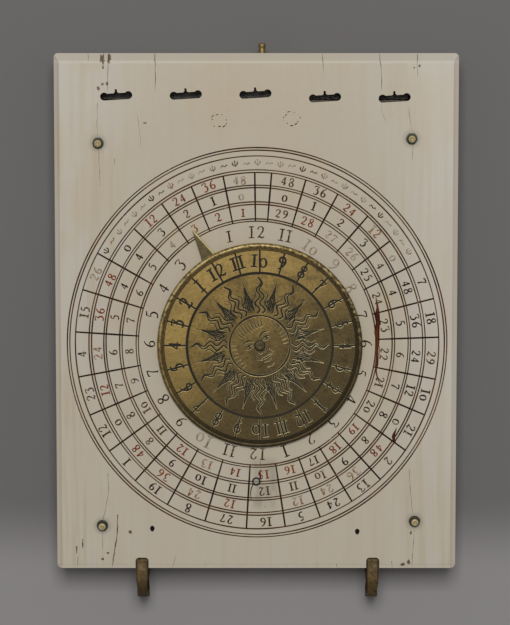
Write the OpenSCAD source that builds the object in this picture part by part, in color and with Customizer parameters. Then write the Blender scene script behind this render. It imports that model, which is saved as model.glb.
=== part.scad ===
// Diptych dial: two ivory leaves that fold shut on a pair of brass hoop hinges.
// It is drawn closed and lying flat on the string leaf. X runs across the leaves, +Y runs from the
// hinge edge to the catch edge, and +Z points out of the face that carries the turning disc.
// The origin is the centre of the face that the closed dial rests on.

/* [Leaves] */
// Width of both leaves
leaf_w = 92; // [76:1:112]
// Height of both leaves, from the hinge edge to the catch edge
leaf_h = 118.4; // [98.4:1:142.4]
// Thickness of the leaf that holds the compass and carries the turning disc
compass_leaf_t = 7.5; // [7.2:0.1:10]
// Thickness of the leaf that holds the upper end of the string
string_leaf_t = 5.5; // [5:0.1:8]
// Gap between the inner faces when the dial is shut
leaf_gap = 0.2; // [0.1:0.05:0.4]
// Radius of the upright corners
corner_r = 1; // [0.5:0.1:2]
// Width of the bevel on an outer face, along the catch edge
catch_bevel_w = 2; // [0.8:0.1:2.5]
// Width of the bevel on an outer face, along a side edge
side_bevel_w = 1.2; // [0.5:0.1:2]
// Depth of the bevels, down the edge
bevel_depth = 0.8; // [0.4:0.1:1]

/* [Slots] */
// Length of one slot over its round ends
slot_l = 7.3; // [5:0.1:10]
// Width of a slot between its ends
slot_w = 1.5; // [1:0.1:1.7]
// Radius of the holes drilled at the ends of a slot
slot_end_r = 0.9; // [0.85:0.05:1.1]
// Distance between neighbouring slots
slot_pitch = 15.8; // [13:0.1:18]
// Distance from the catch edge to the line of the slots
slot_inset = 9.5; // [8:0.1:14]
// Tilt of the hand-cut slots
slot_tilt = 3.5; // [0:0.5:6]
// Width of the saw nick in the upper side of a slot
slot_nick_w = 0.5; // [0.3:0.05:0.8]
// Depth of the nick
slot_nick_h = 0.9; // [0.5:0.1:1.5]

/* [Turning disc] */
// Radius of the disc over its raised rim
disc_r = 23.5; // [19:0.1:28]
// Thickness of the disc inside its rim
disc_t = 1; // [0.8:0.1:1.2]
// Height that the rim stands above the plate
rim_rise = 0.35; // [0.2:0.05:0.4]
// Width of the rim
rim_w = 1.1; // [0.8:0.1:1.6]
// Radius of the ring cut between the hours and the middle of the disc
disc_ring_r = 16.7; // [12:0.1:17]
// Distance from the centre of the disc to the tip of its pointer
pointer_reach = 30.6; // [29:0.1:34]
// Width of the pointer where it leaves the rim
pointer_w = 4; // [3:0.1:6]
// Angle of the pointer at rest, anticlockwise from the catch edge
pointer_angle = 30; // [0:1:359]
// Sideways place of the disc's centre
disc_x = 0.8; // [-3:0.1:3]
// Place of the disc's centre towards the catch edge
disc_y = -7.4; // [-10:0.1:0]
// Radius of the rivet that the disc turns on
rivet_r = 0.8; // [0.6:0.05:1]
// Radius of the rivet's head
rivet_head_r = 1.3; // [1.2:0.1:1.6]

/* [Feet] */
// Radius of a foot stud
foot_r = 1.05; // [0.8:0.05:1.4]
// Height of a foot stud above the face
foot_h = 1.9; // [1.8:0.1:2.4]
// Radius of the shank of a foot stud
foot_shank_r = 0.6; // [0.4:0.05:0.7]
// Length of the shank inside the leaf
foot_shank_l = 4; // [3:0.1:5]
// Distance from a side edge to the feet
foot_side_inset = 10; // [8:0.1:14]
// Distance from the catch edge to the upper feet
foot_catch_inset = 20.2; // [17:0.1:26]
// Distance from the hinge edge to the lower feet
foot_hinge_inset = 10.2; // [8:0.1:14]

/* [Hinges] */
// Place of the left hinge, to the left of the middle
hinge_left = 26.4; // [25:0.1:29]
// Place of the right hinge, to the right of the middle
hinge_right = 26.9; // [25:0.1:29]
// Distance from the hinge edge to the middle of the hinge pin
pin_reach = 7.1; // [5.2:0.1:8.5]
// Width of a hinge strap
strap_w = 2.8; // [2.4:0.1:3.4]
// Thickness of a hinge strap
strap_t = 1.2; // [0.9:0.1:1.3]
// Length of a strap that lies on the outer face, in its notch
strap_overlap = 2.3; // [2:0.1:4]
// Middle radius of the hoop in a strap
hoop_r = 4.6; // [4:0.1:4.7]
// Height that a strap stands above the face with the disc
strap_proud = 0.2; // [0:0.05:0.4]
// Radius of a hinge pin
pin_r = 0.5; // [0.4:0.05:0.6]
// Radius of the knuckle round a hinge pin
knuckle_r = 1.1; // [1:0.05:1.3]
// Width of the middle ear of a knuckle
ear_w = 0.9; // [0.7:0.05:1.1]
// Width of the plate at the end of a strap, let into the inner face
tail_w = 10; // [9.6:0.1:14]
// Length of the plate beyond the notch
tail_l = 9; // [8:0.1:14]
// Thickness of the plate
tail_t = 0.8; // [0.5:0.05:1.2]
// Radius of the nail that holds a plate
nail_r = 0.5; // [0.3:0.05:0.6]
// Distance from the hinge edge to the nails
nail_inset = 9; // [6:0.1:9.2]

/* [Catch] */
// Sideways place of the catch
catch_x = 1.3; // [-4:0.1:4]
// Radius of the catch stud
catch_stud_r = 0.85; // [0.5:0.05:0.85]
// Length of the catch stud beyond the edge
catch_stud_out = 2.3; // [1:0.1:3]
// Length of the catch stud inside the leaf
catch_stud_in = 6; // [4:0.1:6.5]
// Height of the catch stud above the inner face of its leaf
catch_stud_rise = 2.6; // [2.2:0.1:3]
// Thickness of the catch hook
hook_t = 0.9; // [0.6:0.05:1.2]
// Radius of the round head of the catch hook
hook_head_r = 1.75; // [1.65:0.05:1.8]
// Radius of the pin that the catch hook turns on
hook_pin_r = 0.5; // [0.4:0.05:0.6]

/* [Compass] */
// Distance from the hinge edge to the middle of the compass
compass_inset = 20.2; // [18.5:0.1:24]
// Radius of the compass well below its glass
well_r = 15.5; // [13:0.1:16]
// Width of the ledge that the glass lies on
glass_ledge = 1.1; // [0.8:0.1:1.5]
// Width of the step that the glass ring lies on
ring_step = 0.4; // [0.3:0.05:0.8]
// Ivory left between the compass well and the outer face
well_floor = 1.6; // [1.2:0.1:2]
// Thickness of the compass glass
glass_t = 0.9; // [0.6:0.1:1.2]
// Thickness of the brass ring that holds the glass
glass_ring_t = 0.6; // [0.4:0.1:0.8]
// Thickness of the compass card
card_t = 0.4; // [0.2:0.05:0.6]
// Length of the compass needle
needle_l = 26; // [20:0.5:26]
// Width of the needle at its middle
needle_w = 2.4; // [2.2:0.1:3]
// Thickness of the needle
needle_t = 0.35; // [0.25:0.05:0.5]
// Angle of the needle at rest, anticlockwise from the catch edge
needle_angle = 8; // [0:1:359]

/* [String holes] */
// Radius of a hole through the string leaf
string_hole_r = 0.5; // [0.4:0.05:0.7]
// Radius of the hole that takes the lower end of the string
string_foot_r = 0.6; // [0.5:0.05:0.8]
// Distance from the hinge edge to that hole
string_foot_inset = 67.2; // [62.2:0.5:72.2]
// Depth of that hole
string_foot_depth = 3; // [2:0.1:4]

/* [Hidden] */
$fn = 64;

// Clearances
fixed_fit = 0.03;       // round a pin or nail that is driven in
running_fit = 0.05;     // round a pin that something turns on
seat_fit = 0.1;         // round a piece that is let into the ivory
side_fit = 0.1;         // beside a moving ear, and under and over the disc
past = 1;               // how far a cut runs past what it cuts

// Levels from the table up
inner_z = string_leaf_t + leaf_gap;         // inner face of the compass leaf
face_z = inner_z + compass_leaf_t;          // outer face of the compass leaf
mid_z = string_leaf_t + leaf_gap / 2;       // middle of the gap, and the hinge axis

// Edges of the leaves
catch_y = leaf_h / 2;
hinge_edge_y = -leaf_h / 2;
hinge_y = hinge_edge_y - pin_reach;

// Slots, feet and nails were marked out by eye: how far each slot stands off the common line
slot_scatter = [-0.3, -0.1, 0.1, -0.7, -0.75];
slot_shift = -0.2;

// Feet, as side and end of the leaf, and how far each stands off its place
foot_sides = [[-1, 1], [1, 1], [-1, -1], [1, -1]];
foot_scatter = [[0, -0.2], [-0.65, 0.8], [0.5, -0.3], [0.5, 0.7]];

// Nails of the left and the right strap, as their offset from the middle of the strap and from
// the common inset
nail_offsets = [[2.4, 0.3], [-3.6, -0.4]];

// Disc and rivet
disc_z = face_z + side_fit;
rivet_head_h = 0.4;
rove_r = 2.2;
rove_t = 0.5;
rivet_tail_r = 1.2;
rivet_tail_h = 0.25;
rove_seat_depth = rove_t + rivet_tail_h + 0.05;
disc_ring_w = 0.35;
disc_ring_depth = 0.15;
pointer_t = 0.8;
pointer_tip_w = 0.3;
pointer_curve = 1.5;
pointer_steps = 8;

// Straps
strap_sunk = -0.1;
strap_corner_r = 0.7;
knuckle_gap = 0.1;
tail_sink = 0.05;
nail_sink = 0.4;
compass_rise = compass_leaf_t + leaf_gap / 2;
string_rise = string_leaf_t + leaf_gap / 2;

// Catch: the hook turns on a pin in the middle of the string leaf's edge
hook_z = string_leaf_t / 2;
catch_stud_z = inner_z + catch_stud_rise;
hook_l = catch_stud_z - hook_z;
hook_boss_r = 1.6;
hook_notch_fit = 0.2;
hook_pocket_depth = hook_t + 2 * side_fit;
hook_pocket_y = catch_y - hook_pocket_depth;
hook_pin_l = 5;
hook_pin_head_r = 0.85;
hook_pin_head_t = 0.3;

// Compass, as depths from the inner face of its leaf
compass_y = hinge_edge_y + compass_inset;
ring_seat_r = well_r + glass_ledge + ring_step;
glass_seat_r = well_r + glass_ledge;
ring_sink = 0.1;
ring_depth = ring_sink + glass_ring_t;
glass_depth = ring_depth + glass_t + 0.05;
well_depth = compass_leaf_t - well_floor;
card_depth = well_depth - card_t;
needle_depth = glass_depth + 1.1;
needle_hole_r = 0.9;
cap_r = 1.5;
cap_top_r = 0.6;
cap_over = 0.5;
cap_under = 0.5;
cap_bore_r = 0.5;
pivot_r = 0.35;
pivot_plug_r = 0.8;

// Latitudes that the string holes serve
latitudes = [43, 46, 49, 52, 55];
// With the leaves open square, the string rises from its foot at the latitude's own angle
string_foot_run = string_foot_inset + pin_reach;
function string_hole_y(latitude) = hinge_y + string_foot_run * tan(latitude);

function nail_y(nail_offset) = hinge_edge_y + nail_inset + nail_offset[1];

// Outline of both leaves, with rounded corners
module leaf_outline() {
    square([leaf_w - 2 * corner_r, leaf_h], center = true);
    square([leaf_w, leaf_h - 2 * corner_r], center = true);
    for (sx = [-1, 1], sy = [-1, 1])
        translate([sx * (leaf_w / 2 - corner_r), sy * (leaf_h / 2 - corner_r)])
            circle(corner_r);
}

// A wedge along X that bevels the arris of a face at the origin, whose edge looks along +Y
module bevel_wedge(run, width) {
    rotate([90, 0, 90])
        linear_extrude(run, center = true)
            polygon([[-width, 0], [-width, past], [past, past], [past, -bevel_depth],
                     [0, -bevel_depth]]);
}

// The three bevels of an outer face that looks up at z = 0
module face_bevels() {
    translate([0, catch_y, 0])
        bevel_wedge(leaf_w + 2 * past, catch_bevel_w);
    for (side = [-1, 1])
        rotate([0, 0, -90 * side])
            translate([0, leaf_w / 2, 0])
                bevel_wedge(leaf_h + 2 * past, side_bevel_w);
}

// One slot in plan: a cut between two drilled ends, with a flared saw nick in its upper side
module slot_outline() {
    nick = slot_nick_w / 2;
    flare = slot_nick_h / 3;
    square([slot_l - 2 * slot_end_r, slot_w], center = true);
    for (side = [-1, 1])
        translate([side * (slot_l / 2 - slot_end_r), slot_end_r - slot_w / 2])
            circle(slot_end_r);
    translate([0, slot_w / 2])
        polygon([[-nick - flare, -nick], [-nick - flare, 0], [-nick, flare], [-nick, slot_nick_h],
                 [nick, slot_nick_h], [nick, flare], [nick + flare, 0], [nick + flare, -nick]]);
}

// Plan of a strap's end in its notch: open at the edge, with round corners inside the leaf
module strap_end_plan(grow) {
    w = strap_w + 2 * grow;
    r = strap_corner_r + grow;
    depth = strap_overlap + grow;
    run = pin_reach + 2 * knuckle_r;
    translate([-w / 2, -run])
        square([w, run + depth - r]);
    translate([r - w / 2, -run])
        square([w - 2 * r, run + depth]);
    for (side = [-1, 1])
        translate([side * (w / 2 - r), depth - r])
            circle(r);
}

// Puts its children on the hinge axis: their X looks along +Y, their Y up and their Z along +X
module on_hinge_axis(x) {
    translate([x, hinge_y, mid_z])
        rotate([90, 0, 90])
            children();
}

// Side view of a strap: up from the pin, round the hoop, in over the outer face and down through
// the notch. rise is the height of the outer face over the pin, and proud is how far it stands off.
module strap_profile(rise, proud) {
    top = rise + proud;
    hoop_v = top - strap_t / 2 - hoop_r;
    riser_u = pin_reach + strap_overlap;
    bend_r = strap_t / 2;
    translate([-strap_t / 2, 0])
        square([strap_t, hoop_v]);
    translate([hoop_r, hoop_v])
        difference() {
            circle(hoop_r + strap_t / 2);
            circle(hoop_r - strap_t / 2);
            translate([0, -hoop_r * 2])
                square(hoop_r * 4);
            translate([-hoop_r * 2, -hoop_r * 4])
                square(hoop_r * 4);
        }
    translate([hoop_r, top - strap_t])
        square([riser_u - hoop_r - bend_r, strap_t]);
    translate([riser_u - bend_r, top - bend_r])
        circle(bend_r);
    translate([riser_u - strap_t, leaf_gap / 2 + tail_sink])
        square([strap_t, top - bend_r - leaf_gap / 2 - tail_sink]);
}

// Plan of the plate at the end of a strap, from inside the notch, with its free corners clipped
module tail_plan(grow) {
    w = tail_w / 2 + grow;
    clip = 1.5;
    end = strap_overlap + tail_l + grow;
    polygon([[-w, strap_overlap - grow], [w, strap_overlap - grow],
             [w, end - clip], [w - clip, end], [clip - w, end], [-w, end - clip]]);
}

// One strap on the hinge axis, rising by rise. The middle ear turns, and the two outer ears are fixed.
module strap(x, rise, proud, nail_offset, middle_ear) {
    bore_r = pin_r + (middle_ear ? running_fit : fixed_fit);
    neck_w = strap_w - 2 * strap_corner_r;
    difference() {
        union() {
            intersection() {
                on_hinge_axis(x)
                    union() {
                        linear_extrude(strap_w, center = true)
                            strap_profile(rise, proud);
                        cylinder(r = knuckle_r, h = strap_w, center = true);
                    }
                translate([x, hinge_edge_y, mid_z - 2 * rise])
                    linear_extrude(4 * rise)
                        strap_end_plan(0);
            }
            translate([x, hinge_edge_y, mid_z + leaf_gap / 2 + tail_sink])
                linear_extrude(tail_t) {
                    tail_plan(0);
                    translate([-neck_w / 2, strap_overlap - strap_t / 2])
                        square([neck_w, strap_t]);
                }
        }
        on_hinge_axis(x) {
            if (middle_ear)
                for (side = [-1, 1])
                    translate([0, 0, side * (ear_w / 2 + strap_w / 2)])
                        cylinder(r = knuckle_r + knuckle_gap, h = strap_w, center = true);
            else
                cylinder(r = knuckle_r + knuckle_gap, h = ear_w + 2 * side_fit, center = true);
            cylinder(r = bore_r, h = strap_w + 2 * past, center = true);
        }
        translate([x + nail_offset[0], nail_y(nail_offset), mid_z])
            cylinder(r = nail_r + fixed_fit, h = rise);
    }
}

// What a leaf gives up for one strap: the notch, the seat of the plate and the nail's hole.
// The leaf's inner face is at z = 0 here, and its outer face is above.
module strap_seat(x, nail_offset, t) {
    translate([x, hinge_edge_y, -past])
        linear_extrude(t + 2 * past)
            strap_end_plan(seat_fit);
    translate([x, hinge_edge_y, -past])
        linear_extrude(past + tail_sink + tail_t + seat_fit)
            tail_plan(seat_fit);
    translate([x + nail_offset[0], nail_y(nail_offset), 0])
        cylinder(r = nail_r + fixed_fit, h = t + past);
}

// Both strap seats of a leaf
module strap_seats(t) {
    strap_seat(-hinge_left, nail_offsets[0], t);
    strap_seat(hinge_right, nail_offsets[1], t);
}

// The fan-shaped pocket in both catch edges, in which the hook lies and swings
module hook_pocket() {
    reach = hook_l + hook_head_r + seat_fit;
    side = hook_head_r + seat_fit;
    translate([catch_x, catch_y + past, hook_z])
        rotate([90, 0, 0])
            linear_extrude(hook_pocket_depth + past)
                intersection() {
                    circle(reach);
                    translate([-side, -side])
                        square(reach + side);
                }
}

// Places its children with their Z along +Y, at height z on the catch edge
module on_catch_edge(y, z) {
    translate([catch_x, y, z])
        rotate([-90, 0, 0])
            children();
}

// Places its children on the compass axis, at a depth in from the inner face
module at_compass(depth) {
    translate([0, compass_y, inner_z + depth])
        children();
}

module string_leaf() {
    color("ivory")
        difference() {
            linear_extrude(string_leaf_t)
                leaf_outline();
            mirror([0, 0, 1])
                face_bevels();
            translate([0, 0, string_leaf_t])
                mirror([0, 0, 1])
                    strap_seats(string_leaf_t);
            for (latitude = latitudes)
                translate([0, string_hole_y(latitude), -past])
                    cylinder(r = string_hole_r, h = string_leaf_t + 2 * past);
            hook_pocket();
            on_catch_edge(hook_pocket_y - hook_pin_l, hook_z)
                cylinder(r = hook_pin_r + fixed_fit, h = hook_pin_l + past);
        }
}

module compass_leaf() {
    color("ivory")
        difference() {
            translate([0, 0, inner_z])
                linear_extrude(compass_leaf_t)
                    leaf_outline();
            translate([0, 0, face_z])
                face_bevels();
            translate([0, 0, inner_z])
                strap_seats(compass_leaf_t);
            for (i = [0 : len(slot_scatter) - 1])
                translate([slot_shift + (i - 2) * slot_pitch,
                           catch_y - slot_inset + slot_scatter[i], inner_z - past])
                    rotate([0, 0, slot_tilt])
                        linear_extrude(compass_leaf_t + 2 * past)
                            slot_outline();
            for (i = [0 : len(foot_sides) - 1])
                translate(concat(foot_place(i), face_z - foot_shank_l))
                    cylinder(r = foot_shank_r + fixed_fit, h = foot_shank_l + past);
            translate([disc_x, disc_y, inner_z - past]) {
                cylinder(r = rivet_r + fixed_fit, h = compass_leaf_t + 2 * past);
                cylinder(r = rove_r + seat_fit, h = past + rove_seat_depth);
            }
            at_compass(-past) {
                cylinder(r = ring_seat_r, h = past + ring_depth);
                cylinder(r = glass_seat_r, h = past + glass_depth);
                cylinder(r = well_r, h = past + well_depth);
                cylinder(r = pivot_plug_r + fixed_fit, h = compass_leaf_t + 2 * past);
            }
            translate([0, hinge_edge_y + string_foot_inset, inner_z - past])
                cylinder(r = string_foot_r, h = past + string_foot_depth);
            hook_pocket();
            on_catch_edge(hook_pocket_y - catch_stud_in, catch_stud_z)
                cylinder(r = catch_stud_r + fixed_fit, h = catch_stud_in + past);
        }
}

// The pointer in plan, looking along +Y: its sides draw in to a fine tip
function pointer_side(side) =
    [for (i = [0 : pointer_steps])
        let (t = (side > 0 ? i : pointer_steps - i) / pointer_steps,
             half = pointer_tip_w / 2 + (pointer_w - pointer_tip_w) / 2 * pow(1 - t, pointer_curve))
        [side * half, disc_r - rim_w + t * (pointer_reach - disc_r + rim_w)]];

module volvelle_disc() {
    color("darkgoldenrod")
        translate([disc_x, disc_y, disc_z])
            rotate([0, 0, pointer_angle])
                difference() {
                    union() {
                        rotate_extrude() {
                            square([disc_r, disc_t]);
                            translate([disc_r - rim_w, 0])
                                square([rim_w, disc_t + rim_rise - rim_w / 2]);
                            translate([disc_r - rim_w / 2, disc_t + rim_rise - rim_w / 2])
                                circle(rim_w / 2);
                        }
                        linear_extrude(pointer_t)
                            polygon(concat(pointer_side(1), pointer_side(-1)));
                    }
                    translate([0, 0, -past])
                        cylinder(r = rivet_r + running_fit, h = disc_t + 2 * past);
                    rotate_extrude()
                        translate([disc_ring_r - disc_ring_w / 2, disc_t - disc_ring_depth])
                            square([disc_ring_w, disc_ring_depth + past]);
                }
}

// The rivet: a low head over the disc, a shank through the leaf, and a tail spread over the rove
module volvelle_rivet() {
    head_z = disc_z + disc_t + side_fit;
    tail_z = inner_z + rove_seat_depth - rove_t - rivet_tail_h;
    color("goldenrod")
        translate([disc_x, disc_y, 0]) {
            translate([0, 0, head_z])
                cylinder(r1 = rivet_head_r, r2 = rivet_head_r * 0.7, h = rivet_head_h);
            translate([0, 0, tail_z])
                cylinder(r = rivet_r, h = head_z - tail_z);
            translate([0, 0, tail_z])
                cylinder(r = rivet_tail_r, h = rivet_tail_h);
        }
}

module rivet_rove() {
    color("goldenrod")
        translate([disc_x, disc_y, inner_z + rove_seat_depth - rove_t])
            difference() {
                cylinder(r = rove_r, h = rove_t);
                translate([0, 0, -past])
                    cylinder(r = rivet_r + fixed_fit, h = rove_t + 2 * past);
            }
}

// Place of a foot on the outer face
function foot_place(i) =
    [foot_sides[i][0] * (leaf_w / 2 - foot_side_inset),
     foot_sides[i][1] > 0 ? catch_y - foot_catch_inset : hinge_edge_y + foot_hinge_inset]
    + foot_scatter[i];

// A foot stud: a domed brass pin driven into the outer face
module foot_stud(i) {
    dome_z = foot_h - foot_r;
    color("darkgoldenrod")
        translate(concat(foot_place(i - 1), face_z))
            rotate_extrude() {
                translate([0, -foot_shank_l])
                    square([foot_shank_r, foot_shank_l]);
                square([foot_r, dome_z]);
                translate([0, dome_z])
                    intersection() {
                        circle(foot_r);
                        square(foot_r);
                    }
            }
}

module compass_strap_left() {
    color("peru")
        strap(-hinge_left, compass_rise, strap_proud, nail_offsets[0], true);
}

module compass_strap_right() {
    color("peru")
        strap(hinge_right, compass_rise, strap_proud, nail_offsets[1], true);
}

// Turns its children over about the hinge axis's level, from the compass leaf's side to the string leaf's
module below_hinge_axis() {
    translate([0, 0, 2 * mid_z])
        mirror([0, 0, 1])
            children();
}

module string_strap_left() {
    color("peru")
        below_hinge_axis()
            strap(-hinge_left, string_rise, strap_sunk, nail_offsets[0], false);
}

module string_strap_right() {
    color("peru")
        below_hinge_axis()
            strap(hinge_right, string_rise, strap_sunk, nail_offsets[1], false);
}

module hinge_pin(x) {
    color("saddlebrown")
        on_hinge_axis(x)
            cylinder(r = pin_r, h = strap_w, center = true);
}

module hinge_pin_left() { hinge_pin(-hinge_left); }
module hinge_pin_right() { hinge_pin(hinge_right); }

// An iron nail from just under the outer face down to the inner side of the plate
module nail(x, nail_offset, rise) {
    foot_v = leaf_gap / 2 + tail_sink;
    color("dimgray")
        translate([x + nail_offset[0], nail_y(nail_offset), mid_z + foot_v])
            cylinder(r = nail_r, h = rise - nail_sink - foot_v);
}

module compass_nail_left() { nail(-hinge_left, nail_offsets[0], compass_rise); }
module compass_nail_right() { nail(hinge_right, nail_offsets[1], compass_rise); }
module string_nail_left() { below_hinge_axis() nail(-hinge_left, nail_offsets[0], string_rise); }
module string_nail_right() { below_hinge_axis() nail(hinge_right, nail_offsets[1], string_rise); }

module catch_stud() {
    color("darkgoldenrod")
        on_catch_edge(hook_pocket_y - catch_stud_in, catch_stud_z)
            cylinder(r = catch_stud_r, h = catch_stud_in + hook_pocket_depth + catch_stud_out);
}

// The way into the hook's notch, which follows the arc that the stud takes round the hook's pin
module hook_mouth(notch_r) {
    intersection() {
        difference() {
            circle(hook_l + notch_r);
            circle(hook_l - notch_r);
        }
        square(2 * hook_l);
    }
}

// The hook lies along +X in its pocket. Swung up about its pin, its notch takes the catch stud.
module catch_hook() {
    notch_r = catch_stud_r + hook_notch_fit;
    color("darkgoldenrod")
        translate([catch_x, hook_pocket_y + side_fit + hook_t, hook_z])
            rotate([90, 0, 0])
                difference() {
                    linear_extrude(hook_t)
                        difference() {
                            union() {
                                circle(hook_boss_r);
                                translate([0, -hook_boss_r])
                                    square([hook_l, hook_boss_r + notch_r]);
                                translate([hook_l, 0])
                                    circle(hook_head_r);
                            }
                            translate([hook_l, 0])
                                circle(notch_r);
                            hook_mouth(notch_r);
                            circle(hook_pin_r + running_fit);
                        }
                    translate([0, 0, -past])
                        cylinder(r = hook_pin_head_r + running_fit,
                                 h = past + hook_pin_head_t + side_fit);
                }
}

module catch_pin() {
    color("goldenrod")
        on_catch_edge(hook_pocket_y - hook_pin_l, hook_z) {
            cylinder(r = hook_pin_r, h = hook_pin_l + hook_t);
            translate([0, 0, hook_pin_l + side_fit + hook_t - hook_pin_head_t])
                cylinder(r = hook_pin_head_r, h = hook_pin_head_t);
        }
}

module compass_card() {
    color("cornsilk")
        at_compass(card_depth)
            difference() {
                cylinder(r = well_r - seat_fit, h = card_t);
                translate([0, 0, -past])
                    cylinder(r = pivot_r + fixed_fit, h = card_t + 2 * past);
            }
}

// The pivot: a plug through the floor of the well, and a fine pin that comes to a point in the cap
module compass_pivot() {
    tip_depth = needle_depth - cap_over / 2;
    shoulder_depth = needle_depth + needle_t + cap_under;
    color("goldenrod") {
        at_compass(well_depth)
            cylinder(r = pivot_plug_r, h = well_floor - 0.02);
        at_compass(shoulder_depth)
            cylinder(r = pivot_r, h = well_depth - shoulder_depth);
        at_compass(tip_depth)
            cylinder(r1 = 0.05, r2 = pivot_r, h = shoulder_depth - tip_depth);
    }
}

// The needle: a flat iron lozenge with a round eye for its cap
module compass_needle() {
    color("slategray")
        at_compass(needle_depth)
            rotate([0, 0, needle_angle])
                linear_extrude(needle_t)
                    difference() {
                        union() {
                            polygon([[0, needle_l / 2], [-needle_w / 2, 0], [0, -needle_l / 2],
                                     [needle_w / 2, 0]]);
                            circle(cap_r);
                        }
                        circle(needle_hole_r + fixed_fit);
                    }
}

// The brass cap: a turned cone with a blind bore, which sits on the point of the pivot
module needle_cap() {
    neck_r = needle_hole_r;
    color("goldenrod")
        difference() {
            union() {
                at_compass(needle_depth - cap_over)
                    cylinder(r1 = cap_top_r, r2 = cap_r, h = cap_over);
                at_compass(needle_depth)
                    cylinder(r = neck_r, h = needle_t);
                at_compass(needle_depth + needle_t)
                    cylinder(r = cap_r, h = cap_under);
            }
            at_compass(needle_depth - cap_over / 2 - side_fit)
                cylinder(r = cap_bore_r, h = cap_over + needle_t + cap_under + past);
        }
}

module compass_glass() {
    color("lightcyan", 0.4)
        at_compass(glass_depth - glass_t)
            cylinder(r = glass_seat_r - seat_fit, h = glass_t);
}

// The split ring that is sprung in over the glass
module compass_ring() {
    split = 0.8;
    color("goldenrod")
        at_compass(ring_sink)
            difference() {
                cylinder(r = ring_seat_r - running_fit, h = glass_ring_t);
                translate([0, 0, -past])
                    cylinder(r = well_r + 0.1, h = glass_ring_t + 2 * past);
                translate([-split / 2, 0, -past])
                    cube([split, 2 * ring_seat_r, glass_ring_t + 2 * past]);
            }
}

string_leaf();
compass_leaf();
volvelle_disc();
volvelle_rivet();
rivet_rove();
foot_stud(1);  // foot_stud_1
foot_stud(2);  // foot_stud_2
foot_stud(3);  // foot_stud_3
foot_stud(4);  // foot_stud_4
compass_strap_left();
compass_strap_right();
string_strap_left();
string_strap_right();
hinge_pin_left();
hinge_pin_right();
compass_nail_left();
compass_nail_right();
string_nail_left();
string_nail_right();
catch_stud();
catch_hook();
catch_pin();
compass_card();
compass_pivot();
compass_needle();
needle_cap();
compass_glass();
compass_ring();
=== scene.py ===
from math import atan2, cos, pi, radians, sin, tan

import bpy
from mathutils import Matrix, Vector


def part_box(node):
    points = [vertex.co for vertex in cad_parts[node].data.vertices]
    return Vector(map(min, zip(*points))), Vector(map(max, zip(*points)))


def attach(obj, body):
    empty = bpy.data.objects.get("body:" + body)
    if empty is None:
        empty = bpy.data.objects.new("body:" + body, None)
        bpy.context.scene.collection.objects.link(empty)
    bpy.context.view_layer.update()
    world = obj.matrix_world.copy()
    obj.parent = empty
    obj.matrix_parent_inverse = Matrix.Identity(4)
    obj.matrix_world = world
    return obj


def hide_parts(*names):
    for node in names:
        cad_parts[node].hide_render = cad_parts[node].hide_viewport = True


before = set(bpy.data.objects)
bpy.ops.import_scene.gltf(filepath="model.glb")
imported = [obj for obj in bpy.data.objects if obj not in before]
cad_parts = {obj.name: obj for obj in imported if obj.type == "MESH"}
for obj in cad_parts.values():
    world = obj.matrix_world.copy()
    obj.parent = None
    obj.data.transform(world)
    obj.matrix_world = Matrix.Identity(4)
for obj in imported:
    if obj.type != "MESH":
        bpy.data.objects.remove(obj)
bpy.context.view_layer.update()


# Ivory finish: old polished ivory, cream in the middle of the leaf and streaked yellow along the
# grain towards its sides. Hands have left brown dirt in every bevel and hole.
MM = 0.001


class Reading:
    """What a shader node gives at each point of a surface. Sums on it add Math nodes."""

    def __init__(self, finish, socket):
        self.finish, self.socket = finish, socket

    def __add__(self, other):
        return self.finish.sum("ADD", self, other)

    def __sub__(self, other):
        return self.finish.sum("SUBTRACT", self, other)

    def __rsub__(self, other):
        return self.finish.sum("SUBTRACT", other, self)

    def __mul__(self, other):
        return self.finish.sum("MULTIPLY", self, other)

    def __truediv__(self, other):
        return self.finish.sum("DIVIDE", self, other)

    def __pow__(self, other):
        return self.finish.sum("POWER", self, other)

    def __abs__(self):
        return self.finish.sum("ABSOLUTE", self)

    __radd__ = __add__
    __rmul__ = __mul__


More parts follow.
